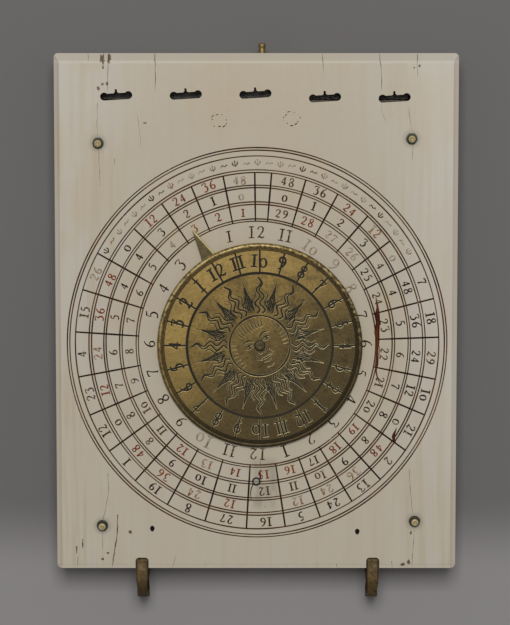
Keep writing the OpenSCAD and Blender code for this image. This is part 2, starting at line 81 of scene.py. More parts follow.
class Finish:
    """A procedural finish. It reads the object's own coordinates, in millimetres."""

    def __init__(self, name, constants):
        self.material = bpy.data.materials.new(name)
        self.material.use_nodes = True
        self.tree = self.material.node_tree
        self.shader = self.tree.nodes["Principled BSDF"]
        self.feed(self.shader, constants)
        metres = self.node("TexCoord", {}, {}, "Object")
        self.place = self.node("VectorMath", {"operation": "SCALE"}, {0: metres, "Scale": 1000})
        self.x, self.y, self.z = (
            self.node("SeparateXYZ", {}, {"Vector": self.place}, axis) for axis in "XYZ"
        )

    def feed(self, node, values):
        """Sets inputs of a node: a reading is linked to its input, a plain value put in."""
        for name, value in values.items():
            if isinstance(value, Reading):
                self.tree.links.new(value.socket, node.inputs[name])
            elif value is not None:
                node.inputs[name].default_value = value

    def node(self, kind, settings, inputs, output=0):
        made = self.tree.nodes.new("ShaderNode" + kind)
        for name, value in settings.items():
            setattr(made, name, value)
        self.feed(made, inputs)
        return Reading(self, made.outputs[output])

    def sum(self, operation, *values):
        return self.node("Math", {"operation": operation}, dict(enumerate(values)))

    def larger(self, a, b):
        return self.sum("MAXIMUM", a, b)

    def smaller(self, a, b):
        return self.sum("MINIMUM", a, b)

    def fade(self, value, start, end):
        """0 up to start and 1 from end on, with a soft change between. End may lie below start."""
        settings = {"interpolation_type": "SMOOTHSTEP"}
        if start < end:
            return self.node("MapRange", settings, {0: value, 1: start, 2: end, 3: 0, 4: 1})
        return self.node("MapRange", settings, {0: value, 1: end, 2: start, 3: 1, 4: 0})

    def mix(self, share, a, b):
        return self.node("Mix", {"data_type": "RGBA"}, {0: share, 6: a, 7: b}, 2)

    def stain(self, share, *colour):
        """Lays a colour, given as it looks, over the finish so far."""
        self.colour = self.mix(share, self.colour, tint(*colour))

    def cloud(self, size, stretch=(1, 1, 1), shift=0, detail=2, rough=0.5):
        """Soft noise from 0 to 1, in patches of about size mm, drawn out by stretch."""
        scaled = [1 / (size * s) for s in stretch]
        spot = self.node("VectorMath", {"operation": "MULTIPLY"}, {0: self.place, 1: scaled})
        spot = self.node("VectorMath", {"operation": "ADD"}, {0: spot, 1: (shift, shift, shift)})
        return self.node(
            "TexNoise", {}, {"Vector": spot, "Scale": 1, "Detail": detail, "Roughness": rough}
        )

    def from_point(self, x, y):
        """Distance in mm from a point, seen from above."""
        return ((self.x - x) ** 2 + (self.y - y) ** 2) ** 0.5

    def paint(self, roughness, relief=None, depth=0.02, metallic=None):
        """Ends the finish. Relief stands up to depth mm high."""
        ends = {"Base Color": self.colour, "Roughness": roughness, "Metallic": metallic}
        if relief is not None:
            bump = {"Strength": 1, "Distance": depth * MM, "Height": relief}
            ends["Normal"] = self.node("Bump", {}, bump)
        self.feed(self.shader, ends)


def tint(red, green, blue):
    """A colour given as it looks, 0 to 255, as the shaders want it."""
    lit = [c / 255 for c in (red, green, blue)]
    return [c / 12.92 if c < 0.04045 else ((c + 0.055) / 1.055) ** 2.4 for c in lit] + [1]


def ivory(name, shift):
    """Sound ivory: a finish with its colour and the height of its grain worked out."""
    f = Finish(name, {"IOR": 1.54, "Coat Weight": 0.1, "Coat Roughness": 0.25})
    wide = f.cloud(2.6, (1, 18, 1), shift, 3)
    fine = f.cloud(0.9, (1, 30, 1), shift + 7, 2)
    warm = f.cloud(11, (1, 1.8, 1), shift + 3, 3)
    side = f.fade(abs(f.x), 22, 44)
    f.colour = f.mix(side, tint(184, 173, 153), tint(191, 183, 168))
    f.stain(f.fade(warm, 0.42, 0.66) * 0.5, 184, 168, 138)
    # Painted light: the ivory is paler towards the hinge edge, the same fall-off as painted on the
    # floor
    f.stain(f.fade(f.y, 20, -60) * 0.55, 198, 188, 170)
    streak = f.fade(wide, 0.46, 0.68) * (0.2 + side * 0.4)
    streak = streak + f.fade(fine, 0.5, 0.75) * (0.15 + side * 0.3)
    f.stain(streak * 0.58, 176, 156, 120)
    f.soil = f.cloud(1.1, (1, 2.2, 1), shift + 4, 3)
    f.relief = (wide * 0.6 + fine * 0.4) * 0.5 + f.soil * 0.5
    return f


# Leaf with the disc: the upper of the two ivory plates, sawn from the tusk along its grain, scraped
# flat and bevelled on three sides of its face. Five slots are drilled and filed through it near the
# catch edge. It has dried into fine cracks along the grain, and dirt has filled them all.
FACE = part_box("compass_leaf")[1].z / MM
UNDER_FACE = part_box("compass_leaf")[0].z / MM
CATCH_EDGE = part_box("compass_leaf")[1].y / MM
HINGE_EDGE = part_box("compass_leaf")[0].y / MM


def middle(node):
    """The middle of a CAD node in x and y, in millimetres."""
    low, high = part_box(node)
    return (low.x + high.x) / 2 / MM, (low.y + high.y) / 2 / MM


COMPASS_Y = middle("compass_card")[1]
STRAP_XS = [middle("compass_strap_" + side)[0] for side in ("left", "right")]
SLOT_Y = 49.4
JOINT_BLACK = (20, 15, 9)


def add(name, data):
    """Puts a new object into the scene."""
    obj = bpy.data.objects.new(name, data)
    bpy.context.scene.collection.objects.link(obj)
    return obj


def move(obj, x, y, z, turn=Matrix.Identity(4)):
    """Turns a mesh and then moves it by x, y and z, in mm."""
    obj.data.transform(Matrix.Translation((x * MM, y * MM, z * MM)) @ turn)


def take(obj):
    """Deselects all else and makes obj what the operators act on."""
    bpy.ops.object.select_all(action="DESELECT")
    obj.select_set(True)
    bpy.context.view_layer.objects.active = obj
    return obj


def modify(obj, kind, **settings):
    """Adds one modifier and applies it."""
    take(obj)
    bpy.ops.object.modifier_add(type=kind)
    modifier = obj.modifiers[-1]
    for name, value in settings.items():
        setattr(modifier, name, value)
    bpy.ops.object.modifier_apply(modifier=modifier.name)


def dress(obj, body, finish):
    """Gives a finished piece its finish and its body."""
    obj.data.materials.clear()
    obj.data.materials.append(finish.material)
    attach(obj, body)


def eased_copy(node, name, width, sharper_than=25, steps=2, smooth=30):
    """A copy of a CAD node with its arrises rubbed down, to stand for it."""
    obj = take(add(name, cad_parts[node].data.copy()))
    bpy.ops.object.mode_set(mode="EDIT")
    bpy.ops.mesh.select_all(action="SELECT")
    bpy.ops.mesh.customdata_custom_splitnormals_clear()
    bpy.ops.mesh.remove_doubles(threshold=0.002 * MM)
    bpy.ops.mesh.dissolve_limited(angle_limit=radians(1))
    bpy.ops.object.mode_set(mode="OBJECT")
    modify(obj, "BEVEL", width=width * MM, segments=steps, limit_method="ANGLE",
           angle_limit=radians(sharper_than))
    bpy.ops.object.shade_smooth_by_angle(angle=radians(smooth))
    modify(obj, "WEIGHTED_NORMAL", keep_sharp=True)
    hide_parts(node)
    return obj


def eased(points):
    """The same points with one more between each two, on a smooth line through them."""
    more = []
    for i in range(len(points) - 1):
        a, b = points[max(i - 1, 0)], points[i]
        c, d = points[i + 1], points[min(i + 2, len(points) - 1)]
        more.append(b)
        more.append([(9 * (b[k] + c[k]) - a[k] - d[k]) / 16 for k in range(3)])
    return more + [points[-1]]


def meshed(name, line, spin=0):
    """Makes a curve a clean mesh. Spin turns it round the upright axis in that many steps."""
    obj = take(add(name, line))
    bpy.ops.object.convert(target="MESH")
    bpy.ops.object.mode_set(mode="EDIT")
    bpy.ops.mesh.select_all(action="SELECT")
    if spin:
        bpy.ops.mesh.spin(steps=spin, angle=2 * pi, center=(0, 0, 0), axis=(0, 0, 1))
        bpy.ops.mesh.select_all(action="SELECT")
    bpy.ops.mesh.remove_doubles(threshold=0.001 * MM)
    bpy.ops.mesh.normals_make_consistent(inside=False)
    bpy.ops.object.mode_set(mode="OBJECT")
    return obj


def stroked(name, strokes, smooth=True, rise=0.2):
    """Cut lines as a mesh, low lozenges in section. A stroke is its points (x, y, width), in mm."""
    line = bpy.data.curves.new(name, "CURVE")
    line.dimensions, line.twist_mode = "3D", "Z_UP"
    line.bevel_depth, line.bevel_resolution, line.use_fill_caps = MM, 0, True
    for points in strokes:
        if smooth and len(points) > 2:
            points = eased(points)
        spline = line.splines.new("POLY")
        spline.points.add(len(points) - 1)
        for point, (x, y, width) in zip(spline.points, points):
            point.co, point.radius = (x * MM, y * MM, 0, 1), width / 2
    obj = meshed(name, line)
    obj.data.transform(Matrix.Diagonal((1, 1, rise, 1)))
    return obj


def fill(name, dark, light, worn):
    """Wax or dirt in a cut. Where it has come out, the ivory shows. Worn is its share, 0 to 1."""
    f = Finish(name, {"IOR": 1.45, "Specular IOR Level": 0.15})
    f.colour = f.mix(f.fade(f.cloud(4, shift=17), 0.35, 0.65), tint(*dark), tint(*light))
    if worn:
        left = f.cloud(0.9, shift=31, detail=3)
        gone = f.fade(left, 0.72 - worn * 0.45, 0.86 - worn * 0.45)
        f.stain(gone * 0.9, 182, 172, 152)

    # Lines that cross the plug of the compass pivot are rubbed out, up to the black joint round it
    to_plug = f.from_point(0, COMPASS_Y)
    on_plug = f.mix(f.fade(to_plug, 0.66, 0.54), tint(*JOINT_BLACK), tint(150, 144, 130))
    over_plug = f.fade(to_plug, 1.04, 0.96) * f.fade(f.z, FACE - 1, FACE - 0.5)
    f.colour = f.mix(over_plug, f.colour, on_plug)
    f.paint(0.6)
    return f


def cracked(points, width):
    """A crack along the grain as one stroke. It trembles, and thins out at both ends."""
    stroke = []
    for (x0, y0), (x1, y1) in zip(points, points[1:]):
        parts = max(2, round(abs(y0 - y1) / 0.7))
        for i in range(parts):
            t = i / parts
            y = y0 + (y1 - y0) * t
            shake = 0.04 * sin(2.1 * y + x0) + 0.02 * sin(5.3 * y)
            swell = 0.75 + 0.25 * sin(1.7 * y + 2 * x0)
            stroke.append((x0 + (x1 - x0) * t + shake, y, 0.68 * width * swell))
    return stroke[:-1] + [(*points[-1], 0.02)]


def lay(name, strokes, finish, smooth=True, rise=0.06):
    """Cracks in the shown face, as a piece of their own."""
    line = stroked(name, strokes, smooth, rise)
    move(line, 0, 0, FACE)
    dress(line, "compass_half", finish)


def to_strap(f):
    """Distance in mm from the middle of the nearer strap, across the leaf."""
    return f.smaller(*(abs(f.x - x) for x in STRAP_XS))


def spot(f, x, y, wide, high):
    """How much a ragged stain shows round a point."""
    away = (((f.x - x) / wide) ** 2 + ((f.y - y) / high) ** 2) ** 0.5
    return f.fade(away + f.ragged * 2.2, 2.15, 1.65)


f = ivory("ivory_of_disc_leaf", 0)
f.ragged = f.cloud(0.5, (0.8, 1.2, 1), 19, 2)
on_face = f.fade(f.z, FACE - 5, FACE - 2)
brown_spots = [
    (-34.9, 57.9, 0.6, 1.3), (-33.4, 58.1, 0.5, 1.2), (-34.8, 55.9, 0.3, 0.5),
    (-33.9, 52.3, 0.4, 0.5), (-35.0, 52.1, 0.4, 0.4), (-35.9, 51.2, 0.4, 0.5),
    (-25.3, 43.4, 0.5, 0.2), (35.8, 55.9, 0.3, 0.3), (37.0, 56.4, 0.3, 0.3),
    (-41.5, -54.8, 0.2, 0.9), (-40.1, -53.8, 0.2, 1.4), (-29.1, -50.8, 0.5, 0.4),
    (-34.2, -55.7, 0.3, 0.3), (-35.5, -57.1, 0.35, 0.3), (33.7, -58.4, 0.7, 0.4),
    (35.2, -57.9, 0.5, 0.6), (35.7, -50.9, 0.25, 0.4),
]
stained = 0.0
for place in brown_spots:
    stained = f.larger(spot(f, *place), stained)

top_middle = f.fade(abs(f.x), 30, 8) * f.fade(f.y, 30, 46)
f.stain(top_middle * 0.4, 178, 160, 128)
f.stain(f.fade(f.x, 30, 44) * f.fade(f.y, -46, -24) * 0.4, 206, 198, 186)
bevel = f.fade(f.z, FACE - 0.12, FACE - 0.5) * on_face
f.stain(bevel * f.fade(abs(f.x), 44.6, 45.2) * 0.7, 204, 192, 174)
f.stain(f.fade(f.y, CATCH_EDGE - 1.9, CATCH_EDGE - 1.6) * 0.6, 186, 178, 164)
# Painted highlights: a light line on the arris where the top bevel meets the face, and one along
# the hinge edge
rubbed = f.larger(f.fade(abs(f.y - CATCH_EDGE + 1.95), 0.45, 0.15),
                  f.fade(f.y, HINGE_EDGE + 0.65, HINGE_EDGE + 0.35))
f.stain(rubbed * on_face * 0.5, 210, 202, 186)
end_dirt = f.fade(f.y, HINGE_EDGE + 1.6, HINGE_EDGE) * f.soil
f.stain(end_dirt * 0.3, 120, 102, 74)

# Green-grey halo of dirt round each foot stud, and the darkened seats of the nails
halo = 0.0
for i in (1, 2, 3, 4):
    away = f.from_point(*middle("foot_stud_%d" % i)) + (f.ragged - 0.5) * 0.35
    halo = f.larger(f.fade(away, 2.6, 1.1) * 0.3 + f.fade(away, 1.42, 1.22), halo)
f.stain(halo * on_face * 0.9, 36, 44, 28)
nails = [middle("compass_nail_" + side) for side in ("left", "right")]
nail_seats = f.smaller(*(((f.x - x) * 1.2) ** 2 + ((f.y - y + 0.1) * 0.85) ** 2 for x, y in nails))
f.stain(f.fade(nail_seats, 0.42, 0.28) * on_face, 22, 16, 10)

# A grey smear from rubbing round the plug of the compass pivot, and a dark ring close round it
smear = f.fade(f.cloud(2.5, (0.8, 2, 1), 11, 3), 0.3, 0.6) * f.fade(abs(f.x - 1.9), 4.4, 1.8)
smear = smear * f.fade(abs(f.y + 39.5), 7, 4) * on_face
f.stain(smear * 0.55, 134, 128, 112)
plug_ring = f.fade(f.from_point(0, COMPASS_Y), 1.06, 0.96)
f.stain(plug_ring * on_face, *JOINT_BLACK)

# Walls of the slots and of the notches for the straps, painted near black: dirt, and painted shade
# deep in these narrow cuts
walls = f.fade(f.z, FACE - 0.06, FACE - 0.3) * f.fade(f.z, UNDER_FACE + 0.05, UNDER_FACE + 0.3)
in_slots = f.fade(abs(f.y - SLOT_Y), 3.8, 3.4) * f.fade(abs(f.x), 38, 37.5)
f.stain(in_slots * walls, 12, 10, 8)
in_notches = f.fade(to_strap(f), 1.75, 1.6) * f.fade(f.y, HINGE_EDGE + 2.8, HINGE_EDGE + 2.6)
f.stain(in_notches * walls, 40, 30, 20)

f.stain(stained * on_face * 0.95, 82, 54, 14)
f.paint(0.34 + f.soil * 0.16, f.relief, 0.03)
dress(eased_copy("compass_leaf", "disc_leaf", 0.14, 17, 3, 40), "compass_half", f)

# Dirt in the cracks of the shown face, and old red wax in a deep gash at the right
hair_cracks = [
    ([(-23.0, 59.1), (-22.9, 54.1), (-22.9, 50.7)], 0.24), ([(-38.1, 59.1), (-38.1, 57.3)], 0.16),
    ([(-33.5, 59.1), (-33.7, 54.8), (-33.8, 50.4)], 0.18),
    ([(-36.1, 48.1), (-36.2, 43.0), (-36.1, 40.0)], 0.13),
    ([(-35.9, 38.2), (-35.8, 34.9), (-35.5, 29.0)], 0.13), ([(-32.2, 35.3), (-32.2, 33.7)], 0.15),
    ([(-27.0, 45.3), (-26.6, 41.7), (-26.2, 37.9)], 0.09),
    ([(15.0, 59.1), (15.1, 57.1), (15.2, 54.6)], 0.15),
    ([(27.9, 59.1), (28.4, 54.8), (28.4, 50.7)], 0.2),
    ([(28.4, 48.4), (28.5, 46.0), (29.6, 43.4)], 0.1),
    ([(36.5, 59.1), (36.5, 56.8), (36.6, 53.5)], 0.16),
    ([(34.6, 46.9), (34.9, 44.4), (35.4, 41.5)], 0.14), ([(35.6, 38.8), (35.5, 35.0)], 0.11),
    ([(-34.2, -37.0), (-34.0, -41.1), (-34.6, -44.5), (-35.4, -48.3)], 0.16),
    ([(-35.5, -50.9), (-35.5, -54.9)], 0.12),
    ([(-32.0, -46.7), (-32.1, -51.4), (-32.8, -55.6), (-33.3, -59.1)], 0.4),
    ([(-41.2, -56.5), (-41.4, -59.1)], 0.15), ([(-18.6, -56.5), (-19.3, -59.1)], 0.18),
    ([(-11.8, -57.5), (-11.8, -59.1)], 0.12), ([(14.0, -57.8), (14.1, -59.1)], 0.13),
    ([(18.5, -58.2), (18.6, -59.1)], 0.16), ([(31.3, -57.6), (31.4, -59.1)], 0.18),
    ([(35.2, -36.2), (35.5, -41.1), (36.1, -46.6)], 0.14),
    ([(36.5, -50.4), (36.2, -54.7), (35.9, -59.1)], 0.16), ([(0.9, -34.2), (1.0, -36.6)], 0.2),
]
dirt = fill("dirt_of_cracks", (80, 54, 24), (128, 100, 62), 0.3)
lay("disc_leaf_cracks", [cracked(*crack) for crack in hair_cracks], dirt, False, 0.1)

gash_wax = fill("wax_of_gash", (70, 26, 16), (104, 44, 26), 0.08)
lay("disc_leaf_gash", [
    [(27.35, 3.9, 0.05), (27.5, 2.6, 0.4), (27.75, 1.3, 0.5), (27.7, -0.4, 1.1),
     (27.85, -2.2, 0.95), (27.6, -4.4, 1.2), (27.8, -6.2, 0.9), (27.6, -8.2, 0.85),
     (27.75, -9.8, 0.6), (27.6, -11.9, 0.75), (27.45, -13.0, 0.4), (27.8, -15.0, 0.3),
     (28.9, -17.4, 0.04)],
    [(28.1, -7.2, 0.05), (28.3, -8.6, 0.2), (28.2, -10.0, 0.04)],
    [(32.3, -26.4, 0.05), (31.9, -27.4, 0.4), (31.5, -28.6, 0.75), (31.9, -29.8, 0.35),
     (32.5, -30.6, 0.05)],
], gash_wax)

# Two open cracks that run from the plug of the compass pivot, black with dirt
black_dirt = fill("black_dirt", (24, 18, 10), (60, 46, 30), 0)
lay("plug_cracks", [
    [(0.85, -38.4, 0.3), (0.95, -37.6, 0.34), (0.8, -36.7, 0.26), (0.9, -36.2, 0.05)],
    [(-0.75, -39.7, 0.28), (-1.1, -40.5, 0.24), (-1.3, -41.6, 0.2), (-1.2, -43.0, 0.14),
     (-0.7, -43.5, 0.04)],
], black_dirt)


# Leaf with the string: the lower ivory plate, of the same tusk. It has the five holes for the
# string, each for one latitude, and the pocket of the catch hook in its edge.
LATITUDES = (43, 46, 49, 52, 55)
SLOT_XS = (-32.0, -16.0, -0.2, 15.8, 31.6)
STRING_FOOT = 8.0
LOWER_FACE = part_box("string_leaf")[0].z / MM
STRING_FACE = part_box("string_leaf")[1].z / MM
HINGE_Y = middle("hinge_pin_left")[1]
hole_ys = [HINGE_Y + (STRING_FOOT - HINGE_Y) * tan(radians(lat)) for lat in LATITUDES]

f = ivory("ivory_of_string_leaf", 40)
holes = 0.0
for y in hole_ys:
    holes = f.larger(f.fade(f.from_point(0, y), 1.1, 0.5), holes)
f.stain(holes * 0.85, 96, 76, 50)

# Painted shade under each slot of the other leaf, so that the slots look black from above, with
# some dirt that fell through
ragged = f.cloud(0.6, shift=12)
under_slot_shade = 0.0
for x in SLOT_XS:
    under_slot_shade = f.larger(f.fade(abs(f.x - x) + ragged * 2.4, 5.6, 3.8), under_slot_shade)
under_slots = f.fade(abs(f.y - SLOT_Y - 0.2) + ragged * 1.6, 2.3, 1.2) * under_slot_shade
under_slots = under_slots * f.fade(f.z, STRING_FACE - 2, STRING_FACE)
f.stain(under_slots * 0.94, 24, 20, 14)
edge = f.fade(abs(f.x), 44.8, 46) * 0.3 + f.fade(abs(f.y), 57.8, 59) * 0.3
f.stain(edge, 150, 132, 100)
f.paint(0.36 + f.soil * 0.16, f.relief, 0.03)
dress(eased_copy("string_leaf", "plain_leaf", 0.14, 17, 3, 40), "string_half", f)


# Lunar table on the disc leaf: circles turned with a compass and columns ruled from its centre, all
# cut with a graver and filled with dark wax. The circles have shrunk across the grain since. The
# figures are cut by hand, in red and black, and the wax has come out of the worn ones.
SHRUNK = 0.968
TABLE_X, TABLE_Y = 0.18, -7.05

line_wax = fill("wax_of_lines", (60, 34, 8), (98, 64, 24), 0.12)
black_wax = fill("black_wax", (32, 18, 6), (58, 34, 12), 0.08)
brown_wax = fill("brown_wax", (62, 42, 20), (98, 70, 40), 0.3)
red_wax = fill("red_wax", (124, 42, 12), (150, 72, 30), 0.18)
faint_wax = fill("faint_wax", (140, 104, 66), (156, 122, 84), 0.75)
faint_red_wax = fill("faint_red_wax", (152, 90, 56), (158, 114, 74), 0.65)
WAXES = [line_wax, black_wax, brown_wax, red_wax, faint_wax, faint_red_wax]
LINE, BLACK, BROWN, RED, FAINT, FAINT_RED = range(6)

# The ten figures as the graver cuts them, 100 high, with their foot at 0, and a dot, a sprig and a
# tendril
FIGURES = {
    "0": [[(0, 74, 7), (-20, 62, 13), (-26, 36, 16), (-17, 8, 13), (2, 0, 7), (20, 12, 14),
           (26, 40, 16), (17, 66, 13), (0, 74, 7)]],
    "1": [[(0, 97, 15), (1, 50, 17), (0, 2, 15)], [(-25, 95, 8), (0, 98, 11), (22, 98, 6)],
          [(-25, 1, 8), (25, 1, 8)]],
    "2": [[(-24, 74, 15), (-18, 92, 9), (2, 99, 9), (20, 86, 15), (18, 60, 14), (-4, 28, 9),
           (-27, 4, 7)], [(-27, 5, 8), (-8, 10, 14), (12, 0, 14), (30, 13, 7)]],
    "3": [[(-24, 82, 13), (-18, 95, 9), (24, 95, 9), (2, 62, 8)],
          [(0, 62, 9), (22, 50, 14), (24, 20, 16), (2, -2, 10), (-22, 6, 13)]],
    "4": [[(8, 98, 8), (-28, 32, 7)], [(-28, 32, 10), (30, 32, 8)], [(10, 100, 15), (10, 2, 15)]],
    "5": [[(24, 100, 8), (-12, 92, 14)], [(-12, 94, 7), (-17, 56, 7)],
          [(-17, 56, 8), (6, 60, 11), (22, 38, 16), (12, 6, 12), (-22, 0, 11)]],
    "6": [[(22, 100, 7), (-4, 84, 11), (-22, 50, 16), (-22, 18, 14), (-2, 0, 9), (20, 14, 15),
           (20, 38, 13), (0, 50, 8), (-19, 36, 8)]],
    "7": [[(-26, 78, 9), (-22, 94, 13), (26, 96, 11)], [(26, 96, 8), (4, 50, 11), (-4, 0, 16)]],
    "8": [[(0, 54, 9), (-19, 68, 13), (-17, 90, 12), (2, 100, 8), (19, 88, 12), (15, 66, 13),
           (-4, 52, 14), (-22, 32, 13), (-18, 8, 13), (2, 0, 8), (22, 12, 13), (20, 36, 14),
           (0, 54, 9)]],
    "9": [[(-22, 0, 7), (4, 16, 11), (22, 50, 16), (22, 82, 14), (2, 100, 9), (-20, 86, 15),
           (-20, 62, 13), (0, 50, 8), (19, 64, 8)]],
    ".": [[(-7, 50, 10), (7, 50, 10)]],
    "v": [[(0, 10, 7), (0, 95, 12)], [(-5, 20, 6), (-34, 50, 15), (-30, 80, 5)],
          [(5, 20, 6), (34, 50, 15), (30, 80, 5)]],
    "~": [[(-45, 30, 5), (-22, 62, 13), (10, 40, 9), (35, 60, 13), (50, 45, 5)]],
}
PITCH = {"1": 0.58, ".": 0.4}


def waxed(obj, colour):
    """Gives a cut line all the waxes, and one of them to each of its faces."""
    for wax in WAXES:
        obj.data.materials.append(wax.material)
    for face in obj.data.polygons:
        face.material_index = colour
    return obj


def figure_set(weight, finest=0):
    """The figures as meshes, 1 high, with strokes of that weight and none finer than finest."""
    made = {}
    for sign, strokes in FIGURES.items():
        heavy = [[(x / 100, y / 100, max(width, finest) / 100 * weight) for x, y, width in stroke]
                 for stroke in strokes]
        made[sign] = waxed(stroked("figure_" + str(len(made)), heavy, True, 1), BLACK)
    return made


on_ivory = figure_set(1.28)


def figures(words, rise=0.2, gap=0.0, shapes=on_ivory):
    """Cut figures as one list of objects. A word is (text, x, y, turn in degrees, height, wax)."""
    cut = []
    for text, x, y, turn, height, colour in words:
        widths = [PITCH.get(sign, 0.92) * height + gap for sign in text]
        run = -sum(widths) / 2
        for sign, width in zip(text, widths):
            obj = add("figure", shapes[sign].data.copy())
            place = Matrix.Translation((x * MM, y * MM, 0)) @ Matrix.Rotation(radians(turn), 4, "Z")
            place = place @ Matrix.Translation(((run + width / 2) * MM, -height / 2 * MM, 0))
            obj.data.transform(place @ Matrix.Diagonal((height, height, height * rise, 1)))
            for face in obj.data.polygons:
                face.material_index = colour
            cut.append(obj)
            run += width
    return cut


def round_words(texts, angles, radius, height, colours, wander, centre=(TABLE_X, TABLE_Y, SHRUNK)):
    """Figures round a centre, their tops outwards. Angles run clockwise from the catch edge."""
    x, y, shrunk = centre
    words = []
    for i, (text, angle, colour) in enumerate(zip(texts, angles, colours)):
        a, nudge = radians(angle), wander * sin(i * 2.4)
        words.append((text, x + sin(a) * (radius + nudge) * shrunk, y + cos(a) * (radius + nudge),
                      -angle + 40 * nudge, height * (1 + 0.3 * nudge), colour))
    return words


def joined(parts):
    """Makes one object of several."""
    take(parts[0])
    for part in parts:
        part.select_set(True)
    if len(parts) > 1:
        bpy.ops.object.join()
    return parts[0]


def one_piece(name, parts, level, body, over=False):
    """Joins cut lines into one piece in the face at that level. Over turns it to look down."""
    obj = joined(parts)
    obj.name = obj.data.name = name
    move(obj, 0, 0, level, Matrix.Rotation(pi, 4, "X") if over else Matrix.Identity(4))
    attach(obj, body)


def circle_stroke(radius, width, x=TABLE_X, y=TABLE_Y, shrunk=SHRUNK, wobble=0.03, steps=144):
    """A compass-cut circle, a little unsteady, as a stroke that closes on itself."""
    points = []
    for i in range(steps + 1):
        a = 2 * pi * i / steps
        r = radius + wobble * sin(3 * a + radius) * sin(a + 0.5 * radius)
        w = width * (1 + 0.15 * sin(5 * a + 2 * radius))
        points.append((x + sin(a) * r * shrunk, y + cos(a) * r, w))
    return points


def spoke(angle, ends, x=0.0, y=0.0, shrunk=1.0):
    """A stroke straight outwards from a centre, through ends of (radius, width)."""
    a = radians(angle)
    return [(x + sin(a) * r * shrunk, y + cos(a) * r, width) for r, width in ends]


circles = [44.9, 44.3, 43.0, 39.8, 39.2, 36.3, 35.75, 32.55, 31.95, 28.65, 28.1]
columns = [-0.8, 5, 17, 29, 41.7, 53, 63.8, 76, 88, 101, 112.5, 125, 137, 148.3, 159.5, 171, 183.4,
           196.8, 209.8, 222.4, 234.7, 247.4, 259.7, 273.6, 286.8, 298.9, 312.3, 325, 336.7, 348.2]
rules = [spoke(angle, ((28.1, 0.3), (34, 0.42), (43.0 if 63 < angle < 300 else 39.2, 0.36)),
               TABLE_X, TABLE_Y, SHRUNK) for angle in columns]
circles = waxed(stroked("circles", [circle_stroke(r, 0.29) for r in circles], False), LINE)
rules = waxed(stroked("rules", rules, False), BLACK)
one_piece("table_lines", [circles, rules], FACE, "compass_half")

# Figures of the four rings, clockwise from the narrow column at the top, each with its wax: black
# (k), brown (n), red (r), faint (f) or faint red (d)
LETTERS = dict(zip("knrfd", (BLACK, BROWN, RED, FAINT, FAINT_RED)))
middles = [(a + b) / 2 for a, b in zip(columns[1:], columns[2:] + [columns[0] + 360])]
minutes = ("48 36 24 12 0 " * 2 + "48 36 24 12 . 12 24 36 48" + " 0 12 24 36 48" * 2).split()
minute_wax = "nnrdfkkkknrdddfrdrrnrdrrnrrrd"
hours = "0 1 2 3 4 4 5 6 7 8 8 9 10 11 12 11 10 9 8 8 7 6 5 4 4 3 2 1 0".split()
hour_wax = "kkkknkknkkkknnnkkknnnnnkkknkf"
ages = [str(29 - i) for i in range(29)]
age_wax = "nrdfknnnnnrrnrrrdrnnnnnnndrrr"
epacts = "7 18 29 10 21 2 13 24 5 16 27 8 19 1 12 23 4 15 26".split()
epact_wax = "kknknnnkknkkkknnnnf"
for name, texts, angles, radius, height, letters in (
    ("minute_figures", minutes, middles, 37.75, 1.9, minute_wax),
    ("hour_figures", hours, middles, 34.15, 1.85, hour_wax),
    ("age_figures", ages, middles, 30.3, 1.8, age_wax),
    ("epact_figures", epacts, middles[5:24], 41.4, 1.95, epact_wax),
):
    colours = [LETTERS[letter] for letter in letters]
    words = round_words(texts, angles, radius, height, colours, 0.12)
    one_piece(name, figures(words), FACE, "compass_half")

# Border band that goes on from the epacts round the top: worn sprigs and tendrils in turn
band = [-59 + 3.7 * i for i in range(33)]
signs = ["~" if i % 2 else "v" for i in range(33)]
band_wax = [(BROWN, FAINT, FAINT, FAINT_RED, BROWN, FAINT, FAINT)[(i * 3) % 7] for i in range(33)]
words = round_words(signs, band, 41.4, 1.7, band_wax, 0.1)
one_piece("band_of_leaves", figures(words), FACE, "compass_half")

# Hours round the disc, for reading the pointer: they run the other way round
HOUR_ANGLES = [15 * i for i in range(24)]
plate_hours = [str((12 - i) % 12 or 12) for i in range(24)]
plate_wax = [LETTERS[letter] for letter in "nnfffkkkkknknnfnkkkkkkkk"]
words = round_words(plate_hours, HOUR_ANGLES, 25.6, 2.6, plate_wax, 0.15)
finer = figure_set(0.95)
one_piece("plate_hours", figures(words, gap=0.15, shapes=finer), FACE, "compass_half")

# Two small rings of dots pricked between the slots and the table
dots = []
for x, y in ((-8.4, 43.95), (8.0, 44.4)):
    for i in range(11):
        a, b = 2 * pi * i / 11, 2 * pi * (i + 0.4 + 0.35 * sin(5 * i)) / 11
        r = 1.5 + 0.16 * sin(4 * i + x)
        dots.append([(x + 1.2 * r * cos(a), y + r * sin(a), 0.14 + 0.16 * sin(3 * i) ** 2),
                     (x + 1.2 * r * cos(b), y + r * sin(b), 0.18)])
one_piece("pricked_rings", [waxed(stroked("dots", dots, False), BROWN)], FACE, "compass_half")


# Dial on the inner face of the disc leaf: hour lines of a level dial for 49 degrees, which fan out
# from the hole of the string's foot and stop short of the compass. A triple border holds the hours.
DIAL_LATITUDE = radians(49)
BORDER_X, HINGE_BORDER, CATCH_BORDER = 37.0, 44.0, 30.0
CLEAR = 18.6


